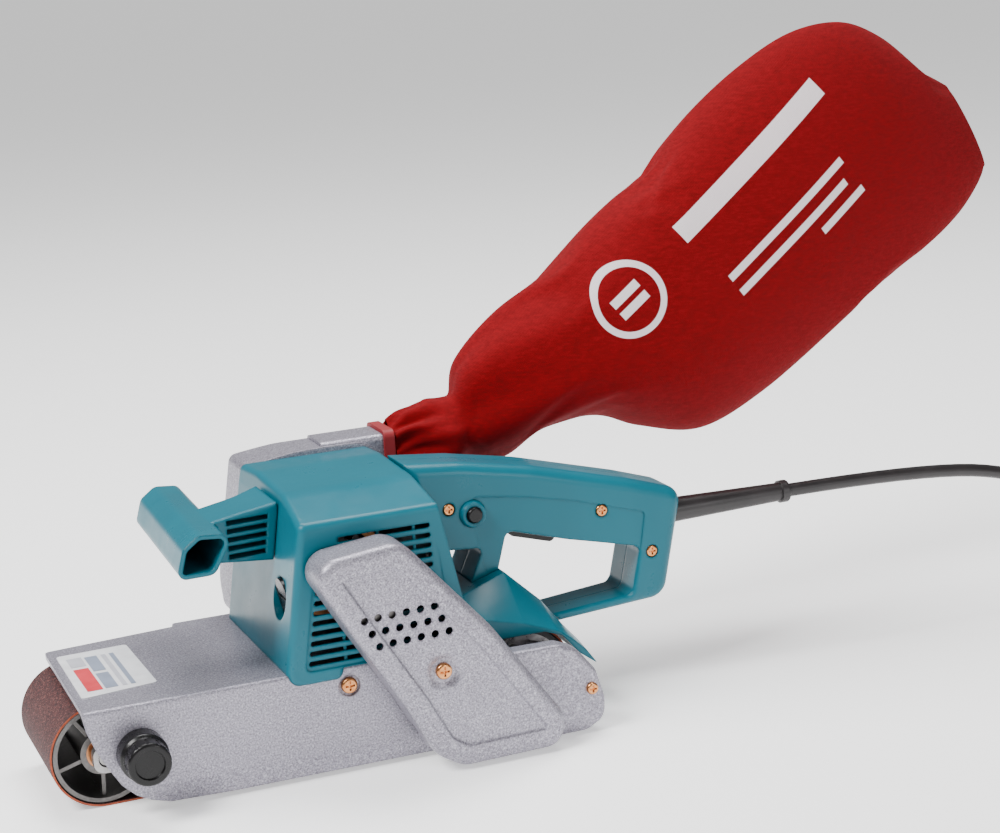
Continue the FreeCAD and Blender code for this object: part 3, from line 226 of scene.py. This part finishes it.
def silver_hammertone():
    """Sprayed silver over cast aluminium: fine lavender-grey speckle with a slight orange peel."""
    n = Nodes("silver_hammertone")
    grain = n.noise(1050.0, 3.0, 0.75)
    flakes = n.cells(1350.0, "F1", "Color")
    dots = n.add("ShaderNodeSeparateColor")
    n.join(flakes, dots, "Color")
    base = n.ramp(grain, [(0.33, (0.120, 0.108, 0.138)), (0.46, (0.245, 0.230, 0.275)),
                          (0.58, (0.345, 0.330, 0.385)), (0.70, (0.600, 0.590, 0.655))])
    colour = n.mix(n.range(dots.outputs["Red"], 0.84, 0.96, 0.0, 0.50), base, (0.150, 0.135, 0.170))
    cloud = n.noise(18.0, 3.0)
    colour = n.mix(n.range(cloud, 0.3, 0.7, 0.0, 0.10), colour, (0.50, 0.49, 0.56))
    rough = n.range(grain, 0.3, 0.7, 0.46, 0.32)
    peel = n.bump(n.noise(500.0, 2.0), 0.10, 0.0003, n.soft_edge(0.0018))
    return n.finish(colour, rough, peel, Metallic=0.5)


def grit_belt():
    """Brown abrasive: packed grains in several reds, with an orange cloth showing at the cut edges."""
    n = Nodes("grit")
    grains = n.cells(1700.0, "F1", "Color")
    split = n.add("ShaderNodeSeparateColor")
    n.join(grains, split, "Color")
    colour = n.ramp(split.outputs["Red"], [(0.0, (0.011, 0.002, 0.003)), (0.45, (0.041, 0.008, 0.009)),
                                           (0.80, (0.078, 0.016, 0.015)), (1.0, (0.190, 0.070, 0.058))])
    wear = n.noise(42.0, 4.0, 0.7)
    colour = n.mix(n.range(wear, 0.55, 0.80, 0.0, 0.22), colour, (0.11, 0.045, 0.040))
    facing = n.add("ShaderNodeSeparateXYZ")
    n.link(n.coords, "Normal", facing, "Vector")
    thread = n.noise(600.0, 2.0, stretch=(1, 3, 1))
    cloth = n.ramp(thread, [(0.3, (0.30, 0.050, 0.020)), (0.7, (0.44, 0.095, 0.040))])
    edge = n.range(n.math("ABSOLUTE", facing.outputs["Y"]), 0.70, 0.80, 0.0, 1.0)
    colour = n.mix(edge, colour, cloth)
    normal = n.bump(n.cells(1700.0), 0.7, 0.0006)
    return n.finish(colour, 0.78, normal)


def moulded(name, dark, light, rough_low, rough_high, grain=900.0, edge=0.0006, coat=0.0, shine=0.5):
    n = Nodes(name)
    tone = n.noise(26.0, 4.0, 0.65)
    colour = n.ramp(tone, [(0.3, dark), (0.7, light)])
    rough = n.range(n.noise(60.0, 4.0, 0.7), 0.35, 0.7, rough_low, rough_high)
    normal = n.bump(n.noise(grain, 2.0), 0.18, 0.0002, n.soft_edge(edge))
    return n.finish(colour, rough, normal, Coat_Weight=coat, Coat_Roughness=0.15, Specular_IOR_Level=shine)


def metal(name, dark, light, rough_low, rough_high, stretch=(1, 1, 1), scale=300.0, edge=0.0003):
    n = Nodes(name)
    lines = n.noise(scale, 4.0, 0.7, stretch=stretch)
    colour = n.ramp(lines, [(0.3, dark), (0.7, light)])
    rough = n.range(lines, 0.3, 0.7, rough_low, rough_high)
    normal = n.bump(lines, 0.12, 0.0001, n.soft_edge(edge))
    return n.finish(colour, rough, normal, Metallic=1.0)


def cork():
    n = Nodes("cork")
    cells = n.cells(420.0, "F1", "Color")
    split = n.add("ShaderNodeSeparateColor")
    n.join(cells, split, "Color")
    colour = n.ramp(split.outputs["Green"], [(0.0, (0.16, 0.08, 0.035)), (0.5, (0.36, 0.20, 0.10)),
                                             (1.0, (0.5, 0.31, 0.17))])
    return n.finish(colour, 0.9, n.bump(n.cells(420.0), 0.5, 0.0004))


PRINT_CENTRE = (0.2127, 0.2050)     # middle of the printed ring, along X and Z, and the way its rows run
PRINT_TILT = math.radians(37.8)
PRINT_RING = (0.0175, 0.0215)
# plain bars beside and inside the ring: (along, across, half length, half height), in metres
PRINT_BARS = [
    (0.1055, 0.0050, 0.0600, 0.0060),
    (0.0985, -0.0330, 0.0480, 0.0024),
    (0.0955, -0.0440, 0.0450, 0.0024),
    (0.1290, -0.0550, 0.0180, 0.0024),
    (0.0, 0.0040, 0.0098, 0.0026),
    (0.0, -0.0040, 0.0098, 0.0026),
]


def bag_print(n):
    """A plain printed mark of a ring and bars on the near side of the bag, 1 where there is ink."""
    mapping = n.add("ShaderNodeMapping", vector_type="TEXTURE")
    mapping.inputs["Location"].default_value = (PRINT_CENTRE[0], 0.0, PRINT_CENTRE[1])
    mapping.inputs["Rotation"].default_value = (0.0, -PRINT_TILT, 0.0)
    n.join(n.place, mapping, "Vector")
    split = n.add("ShaderNodeSeparateXYZ")
    n.link(mapping, "Vector", split, "Vector")
    along, across = split.outputs["X"], split.outputs["Z"]
    along_squared = n.math("MULTIPLY", along, along)
    across_squared = n.math("MULTIPLY", across, across)
    reach = n.math("SQRT", n.math("ADD", along_squared, across_squared))
    middle = (PRINT_RING[0] + PRINT_RING[1]) / 2
    half_band = (PRINT_RING[1] - PRINT_RING[0]) / 2
    from_middle = n.math("ABSOLUTE", n.math("SUBTRACT", reach, middle))
    inside = n.math("SUBTRACT", half_band, from_middle)
    for x, z, half_x, half_z in PRINT_BARS:
        from_x = n.math("SUBTRACT", half_x, n.math("ABSOLUTE", n.math("SUBTRACT", along, x)))
        from_z = n.math("SUBTRACT", half_z, n.math("ABSOLUTE", n.math("SUBTRACT", across, z)))
        inside = n.math("MAXIMUM", inside, n.math("MINIMUM", from_x, from_z))
    near = n.range(split.outputs["Y"], 0.055, 0.060, 1.0, 0.0)
    return n.math("MULTIPLY", n.range(inside, 0.0, 0.0003, 0.0, 1.0), near)


def bag_cloth():
    """Dark red cotton: twill weave, threads of uneven tone, slight fade, and a soft fuzz."""
    n = Nodes("bag_cloth")
    turned = n.add("ShaderNodeMapping")
    turned.inputs["Rotation"].default_value = (0.0, math.radians(40.0), 0.0)
    n.join(n.place, turned, "Vector")
    warp = n.add("ShaderNodeTexWave", wave_type="BANDS", bands_direction="X")
    weft = n.add("ShaderNodeTexWave", wave_type="BANDS", bands_direction="Z")
    for wave in (warp, weft):
        wave.inputs["Scale"].default_value = 330.0
        wave.inputs["Distortion"].default_value = 0.6
        n.link(turned, "Vector", wave, "Vector")
    weave = n.math("MAXIMUM", warp.outputs["Fac"], weft.outputs["Fac"])
    slub = n.noise(220.0, 3.0, 0.6, stretch=(1.0, 1.0, 3.5))
    fade = n.noise(11.0, 4.0, 0.6)
    deep = (0.120, 0.0004, 0.0018)
    fresh = (0.200, 0.0008, 0.0040)
    colour = n.ramp(slub, [(0.30, deep), (0.72, fresh)])
    colour = n.mix(n.range(fade, 0.35, 0.72, 0.0, 0.35), colour, (0.175, 0.0014, 0.0045))
    colour = n.mix(n.range(weave, 0.0, 0.35, 0.28, 0.0), colour, (0.06, 0.0008, 0.002))
    ink = n.math("MULTIPLY", bag_print(n), n.range(weave, 0.0, 0.25, 0.78, 1.0))
    colour = n.mix(ink, colour, (0.72, 0.64, 0.66))
    creases = n.bump(n.noise(46.0, 4.0, 0.62, twist=0.5), 0.25, 0.0025)
    normal = n.bump(weave, 0.35, 0.00025, creases)
    return n.finish(colour, 0.9, normal, Sheen_Weight=0.05, Sheen_Roughness=0.5, Sheen_Tint=(1.0, 0.25, 0.25),
                    Specular_IOR_Level=0.12)


def plain_paint(name, colour, rough=0.5):
    n = Nodes(name)
    tone = n.noise(120.0, 3.0)
    light = tuple(min(1.0, c * 1.12 + 0.01) for c in colour)
    mottled = n.ramp(tone, [(0.3, colour), (0.7, light)])
    return n.finish(mottled, n.range(tone, 0.3, 0.7, rough - 0.06, rough + 0.06))


FINISH = {
    "teal_plastic": teal_plastic(),
    "silver_hammertone": silver_hammertone(),
    "black_plastic": moulded("black_plastic", (0.003, 0.003, 0.003), (0.007, 0.006, 0.007), 0.22, 0.34,
                             shine=0.28),
    "dark_plastic": moulded("dark_plastic", (0.014, 0.014, 0.015), (0.026, 0.025, 0.026), 0.42, 0.6),
    "copper_screw": metal("copper_screw", (0.46, 0.17, 0.055), (0.72, 0.34, 0.14), 0.18, 0.30),
    "steel": metal("steel", (0.27, 0.26, 0.26), (0.45, 0.44, 0.43), 0.22, 0.42, stretch=(1, 6, 1)),
    "lamination": metal("lamination", (0.15, 0.15, 0.16), (0.28, 0.28, 0.29), 0.4, 0.6, stretch=(1, 30, 1)),
    "alloy": metal("alloy", (0.10, 0.095, 0.092), (0.20, 0.19, 0.185), 0.34, 0.5),
    "copper": metal("copper", (0.50, 0.20, 0.09), (0.72, 0.34, 0.16), 0.25, 0.4),
    "carbon": moulded("carbon", (0.012, 0.012, 0.012), (0.03, 0.03, 0.03), 0.55, 0.7),
    "grit": grit_belt(),
    "grey_rubber": moulded("grey_rubber", (0.05, 0.05, 0.052), (0.08, 0.08, 0.082), 0.6, 0.75),
    "black_rubber": moulded("black_rubber", (0.010, 0.0085, 0.009), (0.022, 0.018, 0.019), 0.30, 0.45,
                            grain=700.0),
    "graphite": moulded("graphite", (0.004, 0.004, 0.004), (0.009, 0.008, 0.008), 0.26, 0.40, shine=0.3),
    "cork": cork(),
    "bag_cloth": bag_cloth(),
    "cuff_red": moulded("cuff_red", (0.20, 0.006, 0.010), (0.30, 0.010, 0.016), 0.5, 0.7, grain=500.0),
    "label": plain_paint("label", (0.62, 0.62, 0.64), 0.38),
}
RED_INK = plain_paint("red_ink", (0.52, 0.022, 0.035), 0.4)
GREY_INK = plain_paint("grey_ink", (0.20, 0.23, 0.30), 0.4)
PALE_INK = plain_paint("pale_ink", (0.40, 0.40, 0.44), 0.4)

SLOTS = {part["node"]: part["material_slot"] for part in frame["record"]["subparts"]}


def dress(obj, material):
    obj.data.materials.clear()
    obj.data.materials.append(material)


for name, obj in frame["nodes"].items():
    if name in SLOTS:
        dress(obj, FINISH[SLOTS[name]])


def smooth(obj):
    for polygon in obj.data.polygons:
        polygon.use_smooth = True


def mesh_piece(name, points, faces, slot_name, body="frame"):
    mesh = bpy.data.meshes.new(name)
    mesh.from_pydata([tuple(p) for p in points], [], faces)
    mesh.update()
    obj = bpy.data.objects.new(name, mesh)
    bpy.context.collection.objects.link(obj)
    dress(obj, FINISH[slot_name])
    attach(obj, body)
    return obj


# ---------------------------------------------------------------- cord, coil and plug
CORD_DIAMETER = 0.0075
CORD_ROUTE = [(403, 0, 90.6), (490, 0, 90), (560, 0, 78), (616, 0, 43), (655, 0, 8.5), (690, -1, 4.2)]
COIL_TURNS = 8                     # in two layers of four
COIL_PITCH = 7.65
COIL_POINTS_PER_TURN = 14
COIL_LOW_LAYER = 4.1               # height of the lower turns' middle line
COIL_STEP_SHARE = 0.22             # the part of a turn in which it moves over to the next place


def coil_points(centre_x, centre_y, outer, start, end):
    """A coil's turns from the angle start to end, in degrees: inwards on the floor, then outwards on top."""
    points = []
    total = (end - start) / 360.0
    count = round(total * COIL_POINTS_PER_TURN)
    for k in range(1, count + 1):
        turns = total * k / count
        ring = int(turns)
        part = turns - ring
        step = max(0.0, min(1.0, part / COIL_STEP_SHARE)) if ring > 0 else 1.0
        step = step * step * (3.0 - 2.0 * step)
        place = ring - 1 + step if ring > 0 else 0.0
        if place <= COIL_TURNS / 2 - 1:
            radius = outer - COIL_PITCH * place
            height = COIL_LOW_LAYER
        elif place <= COIL_TURNS / 2:
            radius = outer - COIL_PITCH * (COIL_TURNS / 2 - 1)
            height = COIL_LOW_LAYER + COIL_PITCH * (place - COIL_TURNS / 2 + 1)
        else:
            radius = outer - COIL_PITCH * (COIL_TURNS - 1 - place)
            height = COIL_LOW_LAYER + COIL_PITCH
        angle = math.radians(start + 360.0 * turns)
        points.append((centre_x + radius * math.cos(angle), centre_y + radius * math.sin(angle), height))
    return points


def make_cord():
    low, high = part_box("cord_coil")
    centre = (low + high) / 2
    outer = (high.x - low.x) / 2 / MM - CORD_DIAMETER / MM / 2
    x = (centre.x - SHIFT) / MM
    y = centre.y / MM
    plug_low, plug_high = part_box("plug")
    route = CORD_ROUTE + coil_points(x, y, outer, -90.0, 360.0 * COIL_TURNS)
    plug_x = ((plug_low.x + plug_high.x) / 2 - SHIFT) / MM
    plug_y = plug_low.y / MM
    route = route + [(plug_x, plug_y - 12.0, 10.2), (plug_x, plug_y + 3.0, 9.0)]
    data = bpy.data.curves.new("mains_cord", "CURVE")
    data.dimensions = "3D"
    spline = data.splines.new("NURBS")
    spline.points.add(len(route) - 1)
    for point, place in zip(spline.points, route):
        point.co = (*row(*place), 1.0)
    spline.order_u = 3
    spline.use_endpoint_u = True
    spline.resolution_u = 8
    data.bevel_depth = CORD_DIAMETER / 2
    data.bevel_resolution = 5
    data.resolution_u = 8
    obj = bpy.data.objects.new("mains_cord", data)
    bpy.context.collection.objects.link(obj)
    dress(obj, FINISH["black_rubber"])
    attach(obj, "frame")
    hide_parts("cord_tube", "cord_coil")
    tie = make_tie(centre, outer * MM)


def make_tie(centre, outer):
    """A hook-and-loop strap once round the bundle of turns."""
    bundle_in = outer - (COIL_TURNS / 2 - 1) * COIL_PITCH * MM - CORD_DIAMETER / 2
    bundle_out = outer + CORD_DIAMETER / 2
    top = COIL_LOW_LAYER * MM + COIL_PITCH * MM + CORD_DIAMETER / 2
    wrap = 0.0012
    middle = (bundle_in + bundle_out) / 2
    half = (bundle_out - bundle_in) / 2 + wrap
    points = []
    faces = []
    steps = 28
    across = (-7.0, -6.4, 6.4, 7.0)
    angle = math.radians(200.0)
    out = Vector((math.cos(angle), math.sin(angle), 0))
    side = Vector((-math.sin(angle), math.cos(angle), 0))
    for k in range(steps):
        t = 2 * math.pi * k / steps
        squared = 0.45
        u = math.copysign(abs(math.cos(t)) ** squared, math.cos(t)) * half
        v = math.copysign(abs(math.sin(t)) ** squared, math.sin(t)) * (top / 2 + wrap * 0.5)
        for w in across:
            lift = 0.0 if abs(w) > 6.8 else 0.0005
            base = Vector((centre.x, centre.y, top / 2 + wrap * 0.5))
            away = out * (middle + u + math.copysign(lift, u))
            points.append(base + away + side * w * MM + Vector((0, 0, v)))
    width = len(across)
    for k in range(steps):
        for j in range(width - 1):
            a = k * width + j
            b = ((k + 1) % steps) * width + j
            faces.append((a, a + 1, b + 1, b))
    for point in points:
        point.z = max(point.z, 0.0004)
    obj = mesh_piece("cord_tie", points, faces, "black_plastic")
    smooth(obj)
    shell = obj.modifiers.new("thickness", "SOLIDIFY")
    shell.thickness = 0.0009
    shell.offset = -1.0
    return obj


make_cord()


# ---------------------------------------------------------------- nameplate print
# coloured patches on the nameplate: (left, right) and (near, far) as shares of the plate, and the ink
PLATE_INKS = [((0.04, 0.33), (0.05, 0.64), RED_INK), ((0.04, 0.33), (0.70, 0.94), PALE_INK),
              ((0.38, 0.62), (0.06, 0.46), GREY_INK), ((0.38, 0.62), (0.52, 0.92), GREY_INK),
              ((0.70, 0.79), (0.06, 0.92), PALE_INK), ((0.86, 0.95), (0.06, 0.92), GREY_INK)]


def make_nameplate_print():
    low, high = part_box("nameplate")
    edge = 0.002
    for number, (across, along, ink) in enumerate(PLATE_INKS):
        left = low.x + edge + (high.x - low.x - 6 * edge) * across[0] + 0.0016
        right = low.x + edge + (high.x - low.x - 6 * edge) * across[1] + 0.0016
        near = low.y + edge + (high.y - low.y - 5 * edge) * along[0] + 0.003
        far = low.y + edge + (high.y - low.y - 5 * edge) * along[1] + 0.003
        top = high.z + 0.00012
        points = [Vector((x, y, top)) for x, y in ((left, near), (right, near), (right, far), (left, far))]
        patch = mesh_piece("nameplate_ink_%d" % number, points, [(0, 1, 2, 3)], "label")
        dress(patch, ink)


make_nameplate_print()


# ---------------------------------------------------------------- dust bag
BAG_MIDDLE = 63.0
BAG_RINGS = 110
BAG_AROUND = 112
CLOTH_THICKNESS = 0.0007
CLOTH_FRAMES = 15
CLOTH_PRESSURE = 3.0
CLOTH_REACH = 0.009                # the furthest that the solver may move a point
# each station: top edge (x, z), bottom edge (x, z), half width across
BAG_STATIONS = [
    ((190.8, 147.0), (190.8, 118.5), 15.0),
    ((200.0, 152.0), (201.0, 117.5), 17.0),
    ((213.0, 154.5), (219.0, 117.5), 20.0),
    ((226.0, 158.0), (240.0, 118.0), 23.0),
    ((236.0, 178.0), (259.0, 118.5), 25.0),
    ((259.0, 201.0), (283.0, 126.5), 28.0),
    ((290.0, 225.0), (316.0, 127.5), 31.0),
    ((318.0, 250.5), (345.0, 120.0), 34.0),
    ((350.0, 275.0), (384.0, 115.5), 36.0),
    ((382.0, 303.0), (425.0, 132.0), 36.0),
    ((417.0, 326.0), (464.0, 157.0), 35.0),
    ((450.0, 341.0), (503.0, 183.0), 31.0),
    ((482.0, 344.0), (535.0, 204.5), 25.0),
    ((508.0, 334.0), (559.0, 223.0), 18.0),
    ((531.0, 317.0), (573.0, 240.0), 11.0),
    ((553.0, 301.5), (579.0, 252.0), 5.0),
]


def through(values, t):
    """Catmull-Rom through evenly spaced values."""
    last = len(values) - 1
    k = min(int(t), last - 1)
    f = t - k
    a, b, c, d = (values[max(0, min(last, k + j))] for j in (-1, 0, 1, 2))
    squared = (2 * a - 5 * b + 4 * c - d) * f * f
    cubed = (3 * b - a - 3 * c + d) * f ** 3
    return 0.5 * ((2 * b) + (c - a) * f + squared + cubed)


def bag_fold(run, angle):
    """How far a point moves out (+) or in (-), in mm: gathers at the cuff, a tuck, a roll and pleats."""
    wave = 0.0
    gather = math.exp(-((run - 0.05) / 0.09) ** 2)
    wave += gather * 2.2 * math.sin(7 * angle + 1.3 + 14 * run)
    wave += gather * 1.3 * math.sin(12 * angle - 9 * run + 0.4)
    tuck = math.exp(-((run - 0.205 - 0.018 * math.cos(angle - 0.5)) / 0.020) ** 2)
    wave -= tuck * 5.0 * (0.65 + 0.35 * math.sin(2 * angle))
    roll = math.exp(-((run - 0.15) / 0.035) ** 2)
    wave += roll * 2.6 * (0.5 + 0.5 * math.sin(3 * angle + 0.8))
    pleats = math.exp(-((run - 0.30) / 0.10) ** 2)
    wave += pleats * 1.8 * math.sin(5 * angle + 18 * run)
    return wave


def bag_points(rings, around):
    """The bag's skin as rings of points, in millimetres of part.py."""
    last = len(BAG_STATIONS) - 1
    tops = [np.array(s[0], float) for s in BAG_STATIONS]
    bottoms = [np.array(s[1], float) for s in BAG_STATIONS]
    widths = [s[2] for s in BAG_STATIONS]
    points = []
    for i in range(rings):
        run = i / (rings - 1)
        t = run * last
        top = through(tops, t)
        bottom = through(bottoms, t)
        wide = through(widths, t)
        middle = (top + bottom) / 2
        rise = (top - bottom) / 2
        seam = 1.0 + 0.35 * max(0.0, min(1.0, (run - 0.2) / 0.3))
        for j in range(around):
            angle = 2 * math.pi * j / around
            up = math.cos(angle)
            out = math.copysign(abs(math.sin(angle)) ** seam, math.sin(angle))
            move = bag_fold(run, angle)
            long = np.hypot(*rise)
            grow = 1.0 + move / long
            across = 1.0 + move / max(wide, 8.0)
            p = middle + rise * up * grow
            points.append((p[0], BAG_MIDDLE + wide * out * across, p[1]))
    return points


def make_bag():
    rings = BAG_RINGS
    around = BAG_AROUND
    points = [row(*p) for p in bag_points(rings, around)]
    faces = []
    for i in range(rings - 1):
        for j in range(around):
            k = (j + 1) % around
            faces.append((i * around + j, i * around + k, (i + 1) * around + k, (i + 1) * around + j))
    tail = (rings - 1) * around
    half = around // 2
    for j in range(half):
        a = tail + j
        b = tail + j + 1
        c = tail + (around - j - 1) % around
        d = tail + (around - j) % around
        ring = [a, b, c, d] if b != c else [a, b, d]
        if a == d:
            ring = [a, b, c]
        faces.append(tuple(ring))
    obj = mesh_piece("dust_bag_cloth", points, faces, "bag_cloth")
    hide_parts("dust_bag")
    bm = bmesh.new()
    bm.from_mesh(obj.data)
    bmesh.ops.recalc_face_normals(bm, faces=bm.faces)
    bm.to_mesh(obj.data)
    bm.free()
    smooth(obj)
    inflate(obj, around)
    finer = obj.modifiers.new("finer", "SUBSURF")
    finer.levels = 1
    finer.render_levels = 1
    cloth = obj.modifiers.new("cloth_thickness", "SOLIDIFY")
    cloth.thickness = CLOTH_THICKNESS
    cloth.offset = -1.0


def inflate(obj, pinned):
    """Blow the bag up a little with the cloth solver, with its cuff end held and each point's move capped."""
    rest = np.array([v.co for v in obj.data.vertices])
    group = obj.vertex_groups.new(name="held")
    group.add(list(range(pinned * 2)), 1.0, "REPLACE")
    cloth = obj.modifiers.new("cloth", "CLOTH")
    setting = cloth.settings
    setting.quality = 6
    setting.mass = 0.25
    setting.tension_stiffness = 25
    setting.compression_stiffness = 25
    setting.shear_stiffness = 10
    setting.bending_stiffness = 0.6
    setting.use_pressure = True
    setting.uniform_pressure_force = CLOTH_PRESSURE
    setting.effector_weights.gravity = 0.0
    setting.vertex_group_mass = "held"
    cloth.collision_settings.use_collision = False
    scene = bpy.context.scene
    for number in range(1, CLOTH_FRAMES + 1):
        scene.frame_set(number)
    graph = bpy.context.evaluated_depsgraph_get()
    moved = np.array([v.co for v in obj.evaluated_get(graph).data.vertices])
    obj.modifiers.remove(cloth)
    scene.frame_set(1)
    shift = moved - rest
    length = np.linalg.norm(shift, axis=1, keepdims=True)
    shift *= np.minimum(1.0, CLOTH_REACH / np.maximum(length, 1e-9))
    obj.data.vertices.foreach_set("co", (rest + shift).astype(np.float32).ravel())
    obj.data.update()


make_bag()


# ---------------------------------------------------------------- floor and light
def make_floor():
    n = Nodes("floor_paint")
    mesh = bpy.data.meshes.new("floor")
    size = 40.0
    corners = [(-size, -size, FLOOR), (size, -size, FLOOR), (size, size, FLOOR), (-size, size, FLOOR)]
    mesh.from_pydata(corners, [], [(0, 1, 2, 3)])
    obj = bpy.data.objects.new("floor", mesh)
    bpy.context.collection.objects.link(obj)
    dress(obj, n.finish((0.94, 0.94, 0.94), 0.7, Emission_Color=(1.0, 1.0, 1.0), Emission_Strength=0.55))
    obj.location.z = -0.0002


def area_light(name, place, aim, size, power, colour=(1, 1, 1)):
    data = bpy.data.lights.new(name, "AREA")
    data.shape = "RECTANGLE"
    data.size = size[0]
    data.size_y = size[1]
    data.energy = power
    data.color = colour
    obj = bpy.data.objects.new(name, data)
    bpy.context.collection.objects.link(obj)
    way = Vector(place) - Vector(aim)
    obj.matrix_world = Matrix.Translation(place) @ way.to_track_quat("Z", "Y").to_matrix().to_4x4()


def make_light():
    world = bpy.data.worlds.new("studio")
    bpy.context.scene.world = world
    world.use_nodes = True
    world.node_tree.nodes["Background"].inputs["Color"].default_value = (1.0, 1.0, 1.0, 1.0)
    world.node_tree.nodes["Background"].inputs["Strength"].default_value = 0.30
    aim = (0.05, 0.0, 0.10)
    area_light("key", (-1.1, -0.4, 1.5), aim, (0.7, 0.7), 48.0)
    area_light("top", (0.3, 0.5, 1.9), aim, (1.4, 1.0), 50.0)
    area_light("side", (0.9, -1.8, 0.7), aim, (0.5, 0.7), 8.0)


make_floor()
make_light()
